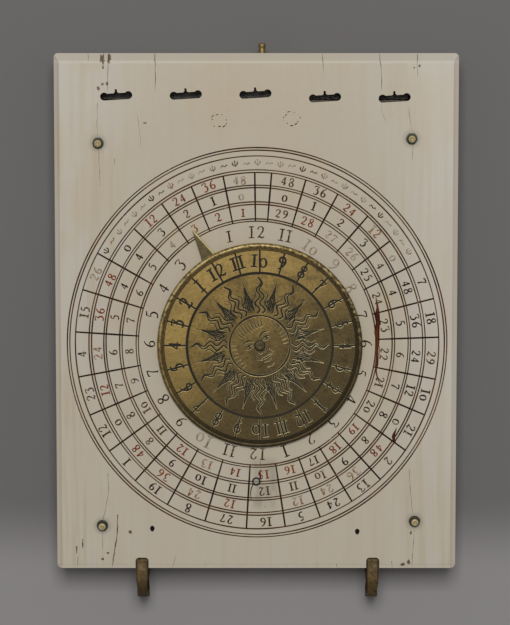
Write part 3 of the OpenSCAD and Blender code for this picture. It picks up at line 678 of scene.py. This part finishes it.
def hour_fan(foot, share, hours_shown, behind, start, to_hole=0.0):
    """Strokes and words of a dial that fans out from foot towards +Y, up to its border.

    Share, a sine or cosine of the latitude, spreads the hours. Behind is the level of the border
    behind the foot. Lines start that far from the foot. To_hole is how far on the middle of a
    round hole lies, which they stop short of.
    """
    strokes, words = [], []
    for hour in hours_shown:
        turn = radians(15 * (hour - 12))
        lean = atan2(share * sin(turn), cos(turn))
        x, y = sin(lean), cos(lean)
        reach, away = BORDER_X / max(abs(x), 0.01), (BORDER_X + 3.3) / max(abs(x), 0.01)
        end, beyond = (HINGE_BORDER, 1.8) if y > 0 else (behind, -1.8)
        if abs(y) > 0.01:
            reach, away = min(reach, (end - foot) / y), min(away, (end + beyond - foot) / y)
        if to_hole and abs(x) * to_hole < CLEAR and y > 0:
            meets = to_hole * y - (CLEAR**2 - (to_hole * x) ** 2) ** 0.5
            reach, away = meets - 3.6, meets - 1.8
        strokes.append([(x * start, foot + y * start, 0.14), (x * reach, foot + y * reach, 0.24)])
        words.append((str((hour - 1) % 12 + 1), x * away, foot + y * away, 0, 2.2,
                      BLACK if hour % 3 else RED))
    return strokes, words


def cut_dial(name, strokes, words, level, body, rise=0.2, over=False):
    """The lines and figures of a dial as one piece."""
    lines = waxed(stroked("dial_lines", strokes, False, rise), LINE)
    one_piece(name, [lines] + figures(words, rise), level, body, over=over)


def border(low, high, gap=0.0):
    """Three lines round a dial, the hours between the outer two. Gap leaves the high side open."""
    frames = []
    for grow, width in ((0, 0.24), (0.6, 0.2), (6.2, 0.24)):
        x, a, b = BORDER_X + grow, low - grow * 0.55, high + grow * 0.55
        corners = [(-gap, b), (-x, b), (-x, a), (x, a), (x, b), (gap, b)]
        frames += [[(*p, width), (*q, width)] for p, q in zip(corners, corners[1:])]
    return frames


# As the reader looks down on the open leaf, the hinge edge is ahead, so +Y here is towards it
strokes, words = hour_fan(-STRING_FOOT, sin(DIAL_LATITUDE), range(5, 20), -CATCH_BORDER, 4,
                          STRING_FOOT - COMPASS_Y)
strokes += border(-CATCH_BORDER, HINGE_BORDER, 18.2)
strokes += [circle_stroke(r, 0.22, 0, -COMPASS_Y, 1.0, 0.0) for r in (17.6, 18.2)]
strokes += [circle_stroke(r, 0.18, 0, -STRING_FOOT, 1.0, 0.0, 40) for r in (2.6, 3.4)]
cut_dial("level_dial", strokes, words, UNDER_FACE, "compass_half", over=True)


# Dial on the inner face of the string leaf: the same hours on an upright dial, under the hole for
# 49 degrees. Each string hole has its latitude cut beside it.
hole = hole_ys[LATITUDES.index(49)]
strokes, words = hour_fan(-hole, cos(DIAL_LATITUDE), range(6, 19), 0.0, 19.3)
strokes = [[(x, -y, w) for x, y, w in stroke] for stroke in strokes]
words = [(text, x, -y, turn, height, wax) for text, x, y, turn, height, wax in words]
strokes += border(-HINGE_BORDER, hole + 26)
strokes += [circle_stroke(r, 0.2, 0, hole, 1.0, 0.0, 96) for r in (1.6, 2.2, 18.7, 19.3)]
words += [(str(lat), 3.9, y, 0, 1.9, BROWN) for lat, y in zip(LATITUDES, hole_ys)]
cut_dial("upright_dial", strokes, words, STRING_FACE, "string_half")


# Outer face of the string leaf: rings, hours and a six-leaved figure struck with the compass, for
# the sake of show. The last string hole comes out where the lower twelve would be.
under_cracks = [
    ([(-30.0, 58.0), (-30.4, 40.0)], 0.18), ([(12.0, 58.0), (12.3, 47.0)], 0.16),
    ([(-17.0, -38.0), (-16.6, -58.8)], 0.18), ([(38.0, -20.0), (38.3, -58.8)], 0.16),
]
strokes = [circle_stroke(r, 0.28, 0, 0, SHRUNK, 0.05) for r in (41.5, 40.8, 36.4, 35.8, 20.4, 19.9)]
strokes += [spoke(angle + 7.5, ((36.4, 0.22), (40.8, 0.22)), 0, 0, SHRUNK) for angle in HOUR_ANGLES]
LEAVES_R = 19.9
for i in range(6):
    a, leaf = radians(60 * i), []
    for k in range(17):
        t = a + radians(120 + 120 * k / 16)
        leaf.append((LEAVES_R * (sin(a) + sin(t)) * SHRUNK, LEAVES_R * (cos(a) + cos(t)), 0.22))
    strokes.append(leaf)
places = [i for i in range(24) if i != 12]
words = round_words([str(i % 12 or 12) for i in places], [15 * i for i in places], 38.6, 2.3,
                    [BROWN if i % 2 else BLACK for i in places], 0.1, (0, 0, SHRUNK))
strokes += [cracked(*crack) for crack in under_cracks]
cut_dial("outer_rings", strokes, words, LOWER_FACE, "string_half", 0.08, True)


# Lunar disc: sheet brass, turned with a raised rim, engraved with an hour ring and a sun in rays.
# The pointer is of the same sheet. Dirt has filled the cuts, and the high parts are dull yellow.
DISC_X, DISC_Y = middle("volvelle_rivet")
DISC_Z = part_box("volvelle_disc")[0].z / MM
PLATE, BLANK = 1.0, 0.8
PLATE_Z = DISC_Z + PLATE
DISC_R, IN_RIM_R, POINTER_R = 23.5, 22.4, 30.6
TURNED = radians(30)


def pick(obj, test):
    """Selects the faces of obj whose middle, in mm, and normal pass the test."""
    bpy.ops.object.mode_set(mode="OBJECT")
    for part in (obj.data.vertices, obj.data.edges, obj.data.polygons):
        for item in part:
            item.select = False
    for face in obj.data.polygons:
        face.select = test(face.center / MM, face.normal)
    bpy.ops.object.mode_set(mode="EDIT")


def brass(name, bright, dull, dark, metal, rough, speck=0.5):
    """Old brass: yellow where it is rubbed, brown where it isn't, with dark stains and pits."""
    f = Finish(name, {"Specular IOR Level": 0.5})
    f.small = f.cloud(0.9, shift=9, detail=3, rough=0.6)
    f.pits = f.fade(f.cloud(0.42, shift=44), 0.62, 0.7)
    patches = f.fade(f.cloud(7, shift=3, detail=3, rough=0.6), 0.32, 0.66)
    f.colour = f.mix(patches, tint(*bright), tint(*dull))
    f.stain(f.fade(f.small, 0.44, 0.74) * speck, *dark)
    f.stain(f.pits * speck * 1.2, *dark)
    f.metal, f.rough = metal, rough
    return f


f = brass("disc_brass", (142, 118, 64), (108, 89, 48), (56, 46, 26), 0.7, 0.36)
out = f.from_point(DISC_X, DISC_Y)
shade = f.fade(f.x * 0.8 - f.y, -10, 24)
f.stain(shade * 0.78, 54, 45, 27)
f.stain(f.fade(out, 16.6, 17.2) * (1 - shade * 0.9) * 0.4, 172, 144, 84)
f.stain(f.fade(abs(out - 22.25), 0.6, 0.3) * 0.25, 60, 52, 34)
beads = f.cloud(0.8, shift=61)
on_rim = f.fade(out, IN_RIM_R, 22.7)
f.stain(on_rim * f.fade(beads, 0.55, 0.4) * 0.5, 58, 50, 30)
# Painted shade on the lower part of the rim
f.stain(on_rim * f.fade(f.y, -10, -26) * 0.55, 60, 52, 32)

# Dirt rubbed in between the close strokes of the straight rays, twelve in all
around = f.sum("ARCTAN2", f.x - DISC_X, f.y - DISC_Y) + TURNED
across = f.sum("COSINE", around * 12) + (out - 8) * 0.1
between = f.fade(across, -0.15, -0.8) * f.fade(out, 7.4, 8.4) * f.fade(out, 15.2, 11.5)
# Painted highlight along the edges of all the cuts, stronger where the disc is painted in shade
edge = f.fade(f.z, PLATE_Z - 0.001, PLATE_Z - 0.006) * f.fade(out, 21.8, 21.7)
lit_side = f.mix(shade, tint(206, 184, 126), tint(228, 210, 156))
f.colour = f.mix(edge * (0.52 + shade * 0.33), f.colour, lit_side)
f.stain(between * f.fade(f.small, 0.3, 0.52) * 0.72, 46, 42, 30)
grooves = f.smaller(abs(out - 22.24), abs(out - 21.96))
f.stain(f.fade(grooves, 0.13, 0.05) * 0.85, 34, 29, 16)
sunk = f.fade(f.z + shade * 0.004, PLATE_Z - 0.008, PLATE_Z - 0.02) * f.fade(out, IN_RIM_R, 22.3)
f.stain(sunk * 0.97, 17, 14, 7)
stain = f.fade(f.cloud(3.4, shift=71, detail=3), 0.56, 0.68) * f.fade(f.x, 2, 14)
f.stain(stain * 0.55, 52, 46, 30)
on_pointer = f.fade(out, DISC_R, 23.7)
f.stain(on_pointer * 0.8, 66, 62, 42)
off_axis = (f.x - DISC_X) * cos(TURNED) + (f.y - DISC_Y) * sin(TURNED)
glint = f.fade(off_axis - (POINTER_R - out) * 0.22, -0.4, -0.1) * on_pointer
f.stain(glint * 0.85, 196, 180, 130)
# Painted highlight on the upper part of the rim, broken up by its beads
painted_rim_highlight = f.fade(f.y + abs(f.x - DISC_X) * 0.5, 0, 12) * on_rim * (1 - on_pointer)
painted_rim_highlight = painted_rim_highlight * f.fade(f.z, DISC_Z + 0.8, DISC_Z + 1.15)
f.stain(painted_rim_highlight * f.fade(beads, 0.42, 0.6) * 0.45, 204, 188, 136)
scratches = f.cloud(0.3, (1, 12, 1), 5, 2)
relief = f.small * 0.6 + scratches * 0.3 + on_rim * beads * 0.7 - f.pits * 0.7
f.paint(f.rough + f.small * 0.25 + sunk * 0.4, relief, 0.035, f.metal * (1 - sunk))

# The blank, with its rim and rings turned in one go from the edge inwards
arc = [(0.55 * (1 - cos(radians(t))), 0.55 * sin(radians(t))) for t in range(0, 181, 10)]
rim = [(b[0] - a[0], b[1] - a[1]) for a, b in zip(arc, arc[1:])]
rim[-1] = (rim[-1][0], PLATE - BLANK - arc[-2][1])
rings = [(0.06, 0), (0.1, -0.09), (0.1, 0.09), (0.08, 0), (0.1, -0.09), (0.1, 0.09), (4.88, 0),
         (0.08, -0.1), (0.44, 0), (0.08, 0.1)]
bpy.ops.object.select_all(action="DESELECT")
bpy.ops.mesh.primitive_cylinder_add(vertices=180, radius=DISC_R * MM, depth=BLANK * MM,
                                    location=(0, 0, BLANK / 2 * MM))
disc = bpy.context.object
disc.name = disc.data.name = "lunar_disc"
bpy.ops.object.transform_apply(location=True)
pick(disc, lambda middle, normal: normal.z > 0.9)
for inset, rise in rim + rings:
    bpy.ops.mesh.inset(thickness=inset * MM, use_even_offset=True)
    if rise:
        bpy.ops.transform.translate(value=(0, 0, rise * MM))
bpy.ops.object.mode_set(mode="OBJECT")

# The pointer, filed to a fine tip with nearly straight sides
bpy.ops.object.select_all(action="DESELECT")
bpy.ops.mesh.primitive_cube_add(size=1, location=(0, 22.1 * MM, BLANK / 2 * MM),
                                scale=(4.4 * MM, MM, BLANK * MM))
pointer = bpy.context.object
bpy.ops.object.transform_apply(location=True, scale=True)
pick(pointer, lambda middle, normal: normal.y > 0.9)
half = 2.2
for i in range(1, 12):
    t = i / 11
    narrower = 0.1 + 1.65 * (1 - t) ** 0.95 + 0.45 * (1 - t) ** 9
    bpy.ops.mesh.extrude_region_move(TRANSFORM_OT_translate={"value": (0, 7.95 / 11 * MM, 0)})
    bpy.ops.transform.resize(value=(narrower / half, 1, 1))
    half = narrower
bpy.ops.object.mode_set(mode="OBJECT")
modify(pointer, "BEVEL", width=0.2 * MM, segments=2)

# What the graver cuts into the plate. Every cut is a groove of V section, wide and shallow.
CUT = 0.26
hour_lines = [spoke(angle, ((16.9, 0.5), (19.5, 0.58), (21.9, 0.5))) for angle in HOUR_ANGLES]
cuts = [stroked("hour_lines", hour_lines, False, CUT)]
disc_hours = [str(12 - i if i < 12 else 24 - i) for i in range(24)]
words = round_words(disc_hours, HOUR_ANGLES, 19.5, 2.85, [0] * 24, 0.1, (0, 0, 1.0))
on_brass = figure_set(1.45, 11)
cuts += figures(words, CUT, 0.0, on_brass)

# One waved ray and one straight ray, cut twelve times each in turn
waved = []
for side in (-1, 1):
    waved.append([(side * 0.62 * (1 - t**1.6) + 0.6 * sin(pi * 5.4 * t) * (1 - 0.3 * t),
                   7.5 + 8.3 * t, 0.54 - 0.12 * t) for t in (i / 26 for i in range(27))])
    waved.append([(side * (1.75 - 0.5 * t) + 0.45 * sin(pi * (2.6 * t + 0.5)),
                   8.0 + 4.6 * t, 0.46 - 0.14 * t) for t in (i / 12 for i in range(13))])
hatched = []
for i in range(-3, 4):
    long = 1 - abs(i) / 5
    hatched.append([(i * 0.46, 8.0 + 0.3 * abs(i), 0.24), (i * 0.42, 10.0, 0.42),
                    (i * 0.1, 8.4 + 6.8 * long, 0.28)])
for i in range(12):
    for name, strokes, turn in (("waved_ray", waved, 30 * i),
                                ("hatched_ray", hatched, 30 * i + 15)):
        ray = stroked(name, strokes, False, CUT)
        ray.data.transform(Matrix.Rotation(radians(turn), 4, "Z"))
        cuts.append(ray)

# The sun's face: calm and plain, with even brows, closed lips and level eyes
face = [circle_stroke(6.9, 0.54, 0, 0, 1.0, 0.0, 60)]
for side in (-1, 1):
    for stroke in (
        [(0.75, 1.5, 0.2), (1.5, 2.15, 0.36), (2.6, 2.3, 0.32), (3.6, 1.75, 0.16)],
        [(1.1, 0.75, 0.18), (1.9, 1.25, 0.32), (2.7, 1.15, 0.3), (3.3, 0.7, 0.16)],
        [(1.1, 0.75, 0.18), (1.9, 0.5, 0.24), (2.7, 0.5, 0.24), (3.3, 0.7, 0.16)],
        [(2.1, 1.05, 0.3), (2.35, 0.85, 0.36), (2.2, 0.68, 0.3)],
        [(0.6, 1.3, 0.16), (0.5, 0.2, 0.22), (0.7, -0.9, 0.3), (1.0, -1.35, 0.24),
         (0.6, -1.7, 0.26), (0.15, -1.8, 0.16)],
        [(1.5, -1.6, 0.14), (1.95, -2.2, 0.26), (2.1, -2.9, 0.14)],
    ):
        face.append([(side * x, y, width * 1.5) for x, y, width in stroke])
    for i in range(7):
        a = radians(58 + 9 * i)
        face.append([(side * sin(a) * 6.5, cos(a) * 6.5, 0.34),
                     (side * sin(a + 0.05) * 5.3, cos(a + 0.05) * 5.3, 0.2)])
face += [
    [(-1.7, -2.95, 0.2), (-0.8, -2.6, 0.38), (0.0, -2.75, 0.3), (0.8, -2.6, 0.38),
     (1.7, -2.95, 0.2)],
    [(-1.7, -2.95, 0.2), (0.0, -3.2, 0.4), (1.7, -2.95, 0.2)],
    [(-1.0, -3.75, 0.2), (0.0, -4.0, 0.36), (1.0, -3.75, 0.2)],
    [(-0.9, -5.1, 0.2), (0.0, -5.3, 0.32), (0.9, -5.1, 0.2)],
]
for i in range(9):
    x = -3.2 + 0.8 * i
    face.append([(x, 6.1 - 0.09 * x * x, 0.26), (x * 0.86, 4.3 - 0.05 * x * x, 0.38),
                 (x * 0.9 + 0.3, 3.6, 0.18)])
cuts.append(stroked("face", face, True, CUT))
graver = joined(cuts)
move(graver, 0, 0, PLATE)

bpy.ops.object.select_all(action="DESELECT")
bpy.ops.mesh.primitive_cylinder_add(vertices=32, radius=0.85 * MM, depth=6 * MM)
bore = bpy.context.object
for tool, operation in ((pointer, "UNION"), (bore, "DIFFERENCE"), (graver, "DIFFERENCE")):
    modify(disc, "BOOLEAN", object=tool, operation=operation, solver="EXACT",
           use_self=tool is graver)
    bpy.data.objects.remove(tool)
bpy.ops.object.shade_smooth_by_angle(angle=radians(12))
move(disc, DISC_X, DISC_Y, DISC_Z, Matrix.Rotation(TURNED, 4, "Z"))
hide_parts("volvelle_disc")
dress(disc, "volvelle", f)


# Rivet of the disc: a brass pin whose head was hammered down over the disc, so that it is low,
# uneven and dark round its edge. Its tail is spread over a rove, a small washer, inside the leaf.
def lathe(name, profile):
    """A piece turned to a profile of (radius, height) in mm, which starts and ends on the axis."""
    line = bpy.data.curves.new(name, "CURVE")
    line.dimensions = "3D"
    spline = line.splines.new("POLY")
    spline.points.add(len(profile) - 1)
    for point, (radius, height) in zip(spline.points, profile):
        point.co = (radius * MM, 0, height * MM, 1)
    obj = meshed(name, line, 32)
    bpy.ops.object.shade_smooth_by_angle(angle=radians(35))
    return obj


def bounds_z(node):
    """The lowest and the highest level of a CAD node, in millimetres."""
    return [corner.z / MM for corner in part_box(node)]


def repaint(finish, *nodes):
    """Gives CAD nodes that stay as they are their finish."""
    for node in nodes:
        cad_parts[node].data.materials.clear()
        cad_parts[node].data.materials.append(finish.material)


f = brass("fitting_brass", (176, 154, 104), (130, 110, 68), (64, 54, 34), 0.75, 0.34)
fitting_brass = f
f.paint(f.rough + f.small * 0.3, f.small, 0.03, f.metal)

f = brass("rivet_brass", (104, 92, 60), (84, 74, 48), (48, 42, 26), 0.6, 0.42, 0.8)
f.stain(f.fade(f.from_point(DISC_X, DISC_Y), 0.95, 1.25), 34, 28, 18)
f.paint(f.rough + f.small * 0.3, f.small + f.pits, 0.05, f.metal)
low, high = bounds_z("volvelle_rivet")
tail = [(0, 0), (1.1, 0), (1.2, 0.1), (1.2, 0.25), (0.8, 0.25)]
head = [(0.8, 0.4), (1.2, 0.4), (1.29, 0.32), (1.25, 0.22), (1.0, 0.1), (0.75, 0.03), (0.4, 0.02),
        (0.25, 0.07), (0, 0.09)]
rivet = lathe("hammered_rivet",
              [(r, low + up) for r, up in tail] + [(r, high - down) for r, down in head])
for v in rivet.data.vertices:
    if v.co.z > (high - 0.35) * MM:
        v.co.z -= 0.03 * MM * (1 + sin(v.co.x / MM * 2.6 + 1) * cos(v.co.y / MM * 3.1))
move(rivet, DISC_X, DISC_Y, 0)
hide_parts("volvelle_rivet")
dress(rivet, "compass_half", f)
repaint(fitting_brass, "rivet_rove")


# Feet: four brass studs, turned with a dome and driven into the ivory. They are worn flat on top,
# and verdigris has gathered round them.
f = brass("foot_brass", (226, 212, 166), (196, 178, 126), (110, 94, 60), 0.5, 0.34, 0.3)
f.stain(f.fade(f.z + f.small * 0.15, FACE + 1.66, FACE + 1.46), 30, 40, 26)
f.stain(f.fade(f.z, FACE + 1.8, FACE + 1.86) * 0.8, 140, 108, 66)
f.stain(f.fade(f.z + f.small * 0.3, FACE + 1.05, FACE + 0.8) * 0.75, 118, 102, 62)
f.paint(f.rough + f.small * 0.3, f.small, 0.03, f.metal)
dome = [(1.03 * sin(radians(a)), 0.85 + 1.04 * cos(radians(a))) for a in range(24, 91, 11)]
shank = [(1.05, 0.7), (1.05, 0), (0.6, 0), (0.6, -3.8), (0.4, -4), (0, -4)]
profile = [(0, 1.83), (0.2, 1.85), (0.32, 1.88)] + dome + shank
for i in (1, 2, 3, 4):
    node = "foot_stud_%d" % i
    stud = lathe("domed_" + node, profile)
    move(stud, *middle(node), FACE, Matrix.Rotation(i, 4, "Z"))
    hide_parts(node)
    dress(stud, "compass_half", f)


# Hinges: four straps cut and bent from brass strip, filed round at the arrises and narrowed a
# little down the hoop. They are dark with age. Painted shade darkens both sides of each strap and
# the far end of its hoop, and a painted highlight, with a little wear, lies where the hoop leaves
# the leaf.
f = brass("hinge_brass", (116, 94, 53), (86, 69, 40), (44, 34, 20), 0.6, 0.42, 0.7)
off = to_strap(f)
in_leaf = f.fade(f.y, HINGE_EDGE + 3.2, HINGE_EDGE + 2.9)
# Painted shade down both sides of each strap
f.stain(f.fade(off, 0.85, 1.3) * in_leaf * 0.8, 40, 32, 20)
# Painted highlight, with a little wear, at the bend where the hoop leaves the leaf
worn = f.fade(abs(f.y - HINGE_EDGE - 0.2), 1.3, 0.3) * f.fade(off, 1.2, 0.7)
worn = worn * f.fade(f.small, 0.4, 0.6)
f.stain(worn * 0.5, 160, 140, 108)
# Painted shade at the far end of the hoop, where it curves away downwards
f.stain(f.fade(f.y, HINGE_EDGE - 6.6, HINGE_EDGE - 7.7) * 0.6, 34, 28, 18)
f.paint(f.rough + f.small * 0.3, f.small + f.pits * 0.5, 0.05, f.metal)
PIN_Z = 5.6
for leaf, body in (("compass", "compass_half"), ("string", "string_half")):
    for side in ("left", "right"):
        node = "%s_strap_%s" % (leaf, side)
        strap = eased_copy(node, "filed_" + node, 0.22, 25, 2, 50)
        x = middle(node)[0] * MM
        for v in strap.data.vertices:
            down = max(0.0, min(1.0, (HINGE_EDGE - 2 - v.co.y / MM) / 4))
            clear = max(0.0, min(1.0, (abs(v.co.z / MM - PIN_Z) - 1.4) / 1.5))
            v.co.x = x + (v.co.x - x) * (1 - 0.28 * down * clear)
        dress(strap, body, f)
repaint(f, "hinge_pin_left", "hinge_pin_right")

# Nails of the straps: iron, driven just under the face, black with rust and dirt
f = Finish("iron", {"Metallic": 0.0, "Specular IOR Level": 0.15})
rust = f.cloud(0.5, shift=2, detail=3)
f.colour = f.mix(f.fade(rust, 0.4, 0.6), tint(18, 14, 11), tint(34, 24, 16))
f.paint(0.7 + rust * 0.2, rust, 0.04)
repaint(f, "compass_nail_left", "compass_nail_right", "string_nail_left", "string_nail_right")


# Catch: a round stud in the edge of the disc leaf, and a flat hook that turns on a pin in the edge
# of the string leaf. Both are brass, and the stud has a groove worn by the hook.
low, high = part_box("catch_stud")
radius, length = (high.z - low.z) / 2 / MM, (high.y - low.y) / MM
end = [(0, 1.75), (0.1, 1.6), (0.1, 1.0), (0, 0.85), (0, 0.35), (0.12, 0.12), (0.35, 0)]
stud = lathe("turned_catch_stud", [(0, 0), (radius - 0.2, 0), (radius, 0.2)]
             + [(radius - inwards, length - back) for inwards, back in end] + [(0, length)])
stud.data.transform(Matrix.Translation(((low.x + high.x) / 2, low.y, (low.z + high.z) / 2))
                    @ Matrix.Rotation(-pi / 2, 4, "X"))
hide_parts("catch_stud")
dress(stud, "compass_half", fitting_brass)
dress(eased_copy("catch_hook", "filed_catch_hook", 0.12), "hook", fitting_brass)
repaint(fitting_brass, "catch_pin")


# Compass: a printed card at the bottom of the well, a blued needle with a brass cap on a fine brass
# pivot, and a glass held by a sprung ring. The pivot's foot is riveted through the thin floor of
# the well, where ivory dust and wear have left it pale.
f = Finish("laid_paper", {"Specular IOR Level": 0.2})
fibre = f.cloud(0.6, (3, 1, 1), 1, 3)
age = f.fade(f.from_point(0, COMPASS_Y), 8, 15.5)
browned = f.cloud(4, shift=8, detail=3) * 0.5 + age * 0.4
f.colour = f.mix(browned, tint(222, 212, 186), tint(186, 164, 120))
f.paint(0.8, fibre)
repaint(f, "compass_card")

strokes = [circle_stroke(r, 0.14, 0, 0, 1.0, 0.0, 72) for r in (14.9, 14.3, 12.9, 12.6, 4.4)]
strokes += [spoke(5 * i, ((13.6 if i % 9 else 12.9, 0.12), (14.3, 0.12))) for i in range(72)]
for i in range(16):
    point = 22.5 * i
    tip = 8.6 if i % 2 else 10.6 if i % 4 else 12.4
    for lean in (-1, 1):
        strokes.append(spoke(point + lean * 11.25, ((4.4, 0.14),)) + spoke(point, ((tip, 0.1),)))
    for lean in (0.25, 0.5, 0.75):
        shading = spoke(point + 11.25 * lean, ((4.6, 0.16),))
        strokes.append(shading + spoke(point, ((tip * 0.9, 0.06),)))
north = [[(0.0, 8.9, 0.2), (side * 0.7, 10.2, 0.4), (0.0, 12.2, 0.1)] for side in (-1, 1)]
north.append([(-1.1, 9.6, 0.25), (1.1, 9.6, 0.25)])
rose = [stroked("rose", strokes, False, 0.12), stroked("north", north, True, 0.12)]
for part, name, dark, light in ((rose[0], "black_ink", (34, 30, 28), (70, 58, 46)),
                                (rose[1], "red_ink", (138, 44, 30), (160, 78, 54))):
    f = Finish(name, {"Specular IOR Level": 0.2})
    f.colour = f.mix(f.cloud(2), tint(*dark), tint(*light))
    f.paint(0.6)
    part.data.materials.append(f.material)
    move(part, 0, -COMPASS_Y, 0)
one_piece("compass_rose", rose, bounds_z("compass_card")[0], "compass_half", True)

f = Finish("blued_iron", {"Metallic": 0.85})
heat = f.cloud(3, shift=6, detail=3)
f.colour = f.mix(f.fade(heat, 0.35, 0.7), tint(44, 58, 92), tint(84, 72, 70))
f.paint(0.3 + heat * 0.2, heat, 0.01)
dress(eased_copy("compass_needle", "blued_needle", 0.06), "needle", f)
repaint(fitting_brass, "needle_cap", "compass_ring")

f = brass("pivot_brass", (160, 138, 90), (124, 104, 62), (64, 54, 34), 0.5, 0.4)
plug = f.fade(f.z, FACE - 0.25, FACE - 0.1)
pale = f.mix(f.small, tint(176, 170, 156), tint(138, 132, 118))
pale = f.mix(f.fade(f.from_point(0, COMPASS_Y), 0.54, 0.66), pale, tint(*JOINT_BLACK))
f.colour = f.mix(plug, f.colour, pale)
f.paint(f.rough + f.small * 0.3, f.small, 0.02, f.metal * (1 - plug))
repaint(f, "compass_pivot")

f = Finish("old_glass", {"IOR": 1.5, "Alpha": 0.2, "Specular IOR Level": 0.6})
waves = f.cloud(6, shift=4, detail=1)
f.colour = f.mix(waves, tint(196, 208, 196), tint(176, 196, 182))
f.paint(0.05, waves)
repaint(f, "compass_glass")

for shape in (*on_ivory.values(), *finer.values(), *on_brass.values()):
    bpy.data.objects.remove(shape)


# Floor and light: a plain grey sheet, painted paler at the front and darker behind as a painted
# fall-off of the light, under a large soft lamp from the catch side, with an even fill from all
# round.
bpy.ops.object.select_all(action="DESELECT")
bpy.ops.mesh.primitive_plane_add(size=4)
floor = bpy.context.object
floor.name = "floor"
f = Finish("floor_paper", {"Specular IOR Level": 0.2})
# Painted fall-off of the light: darker behind, paler at the front
f.colour = f.mix(f.fade(f.y, -44, -64), tint(114, 112, 111), tint(150, 147, 146))
f.paint(0.8)
floor.data.materials.append(f.material)

scene = bpy.context.scene
scene.world = bpy.data.worlds.new("studio")
scene.world.use_nodes = True
even_fill = scene.world.node_tree.nodes["Background"].inputs
even_fill["Color"].default_value = (1, 1, 1, 1)
even_fill["Strength"].default_value = 0.25

light = bpy.data.lights.new("key", "AREA")
light.size, light.energy = 0.3, 4.25
key = add("key", light)
key.location = (0, 0.3, 0.82)
key.rotation_euler = (-key.location).to_track_quat("-Z", "Y").to_euler()


# Camera: it stands 0.6 m over the dial and a little towards the catch edge, where the photograph
# was taken from, with a long lens.
camera = add("camera", bpy.data.cameras.new("camera"))
camera.location = (-0.0003, 0.0588, 0.6010)
camera.rotation_euler = (radians(-5.7), 0, 0)
camera.data.sensor_width = 36
camera.data.lens = 148.67
scene.camera = camera
scene.view_settings.view_transform = "Standard"
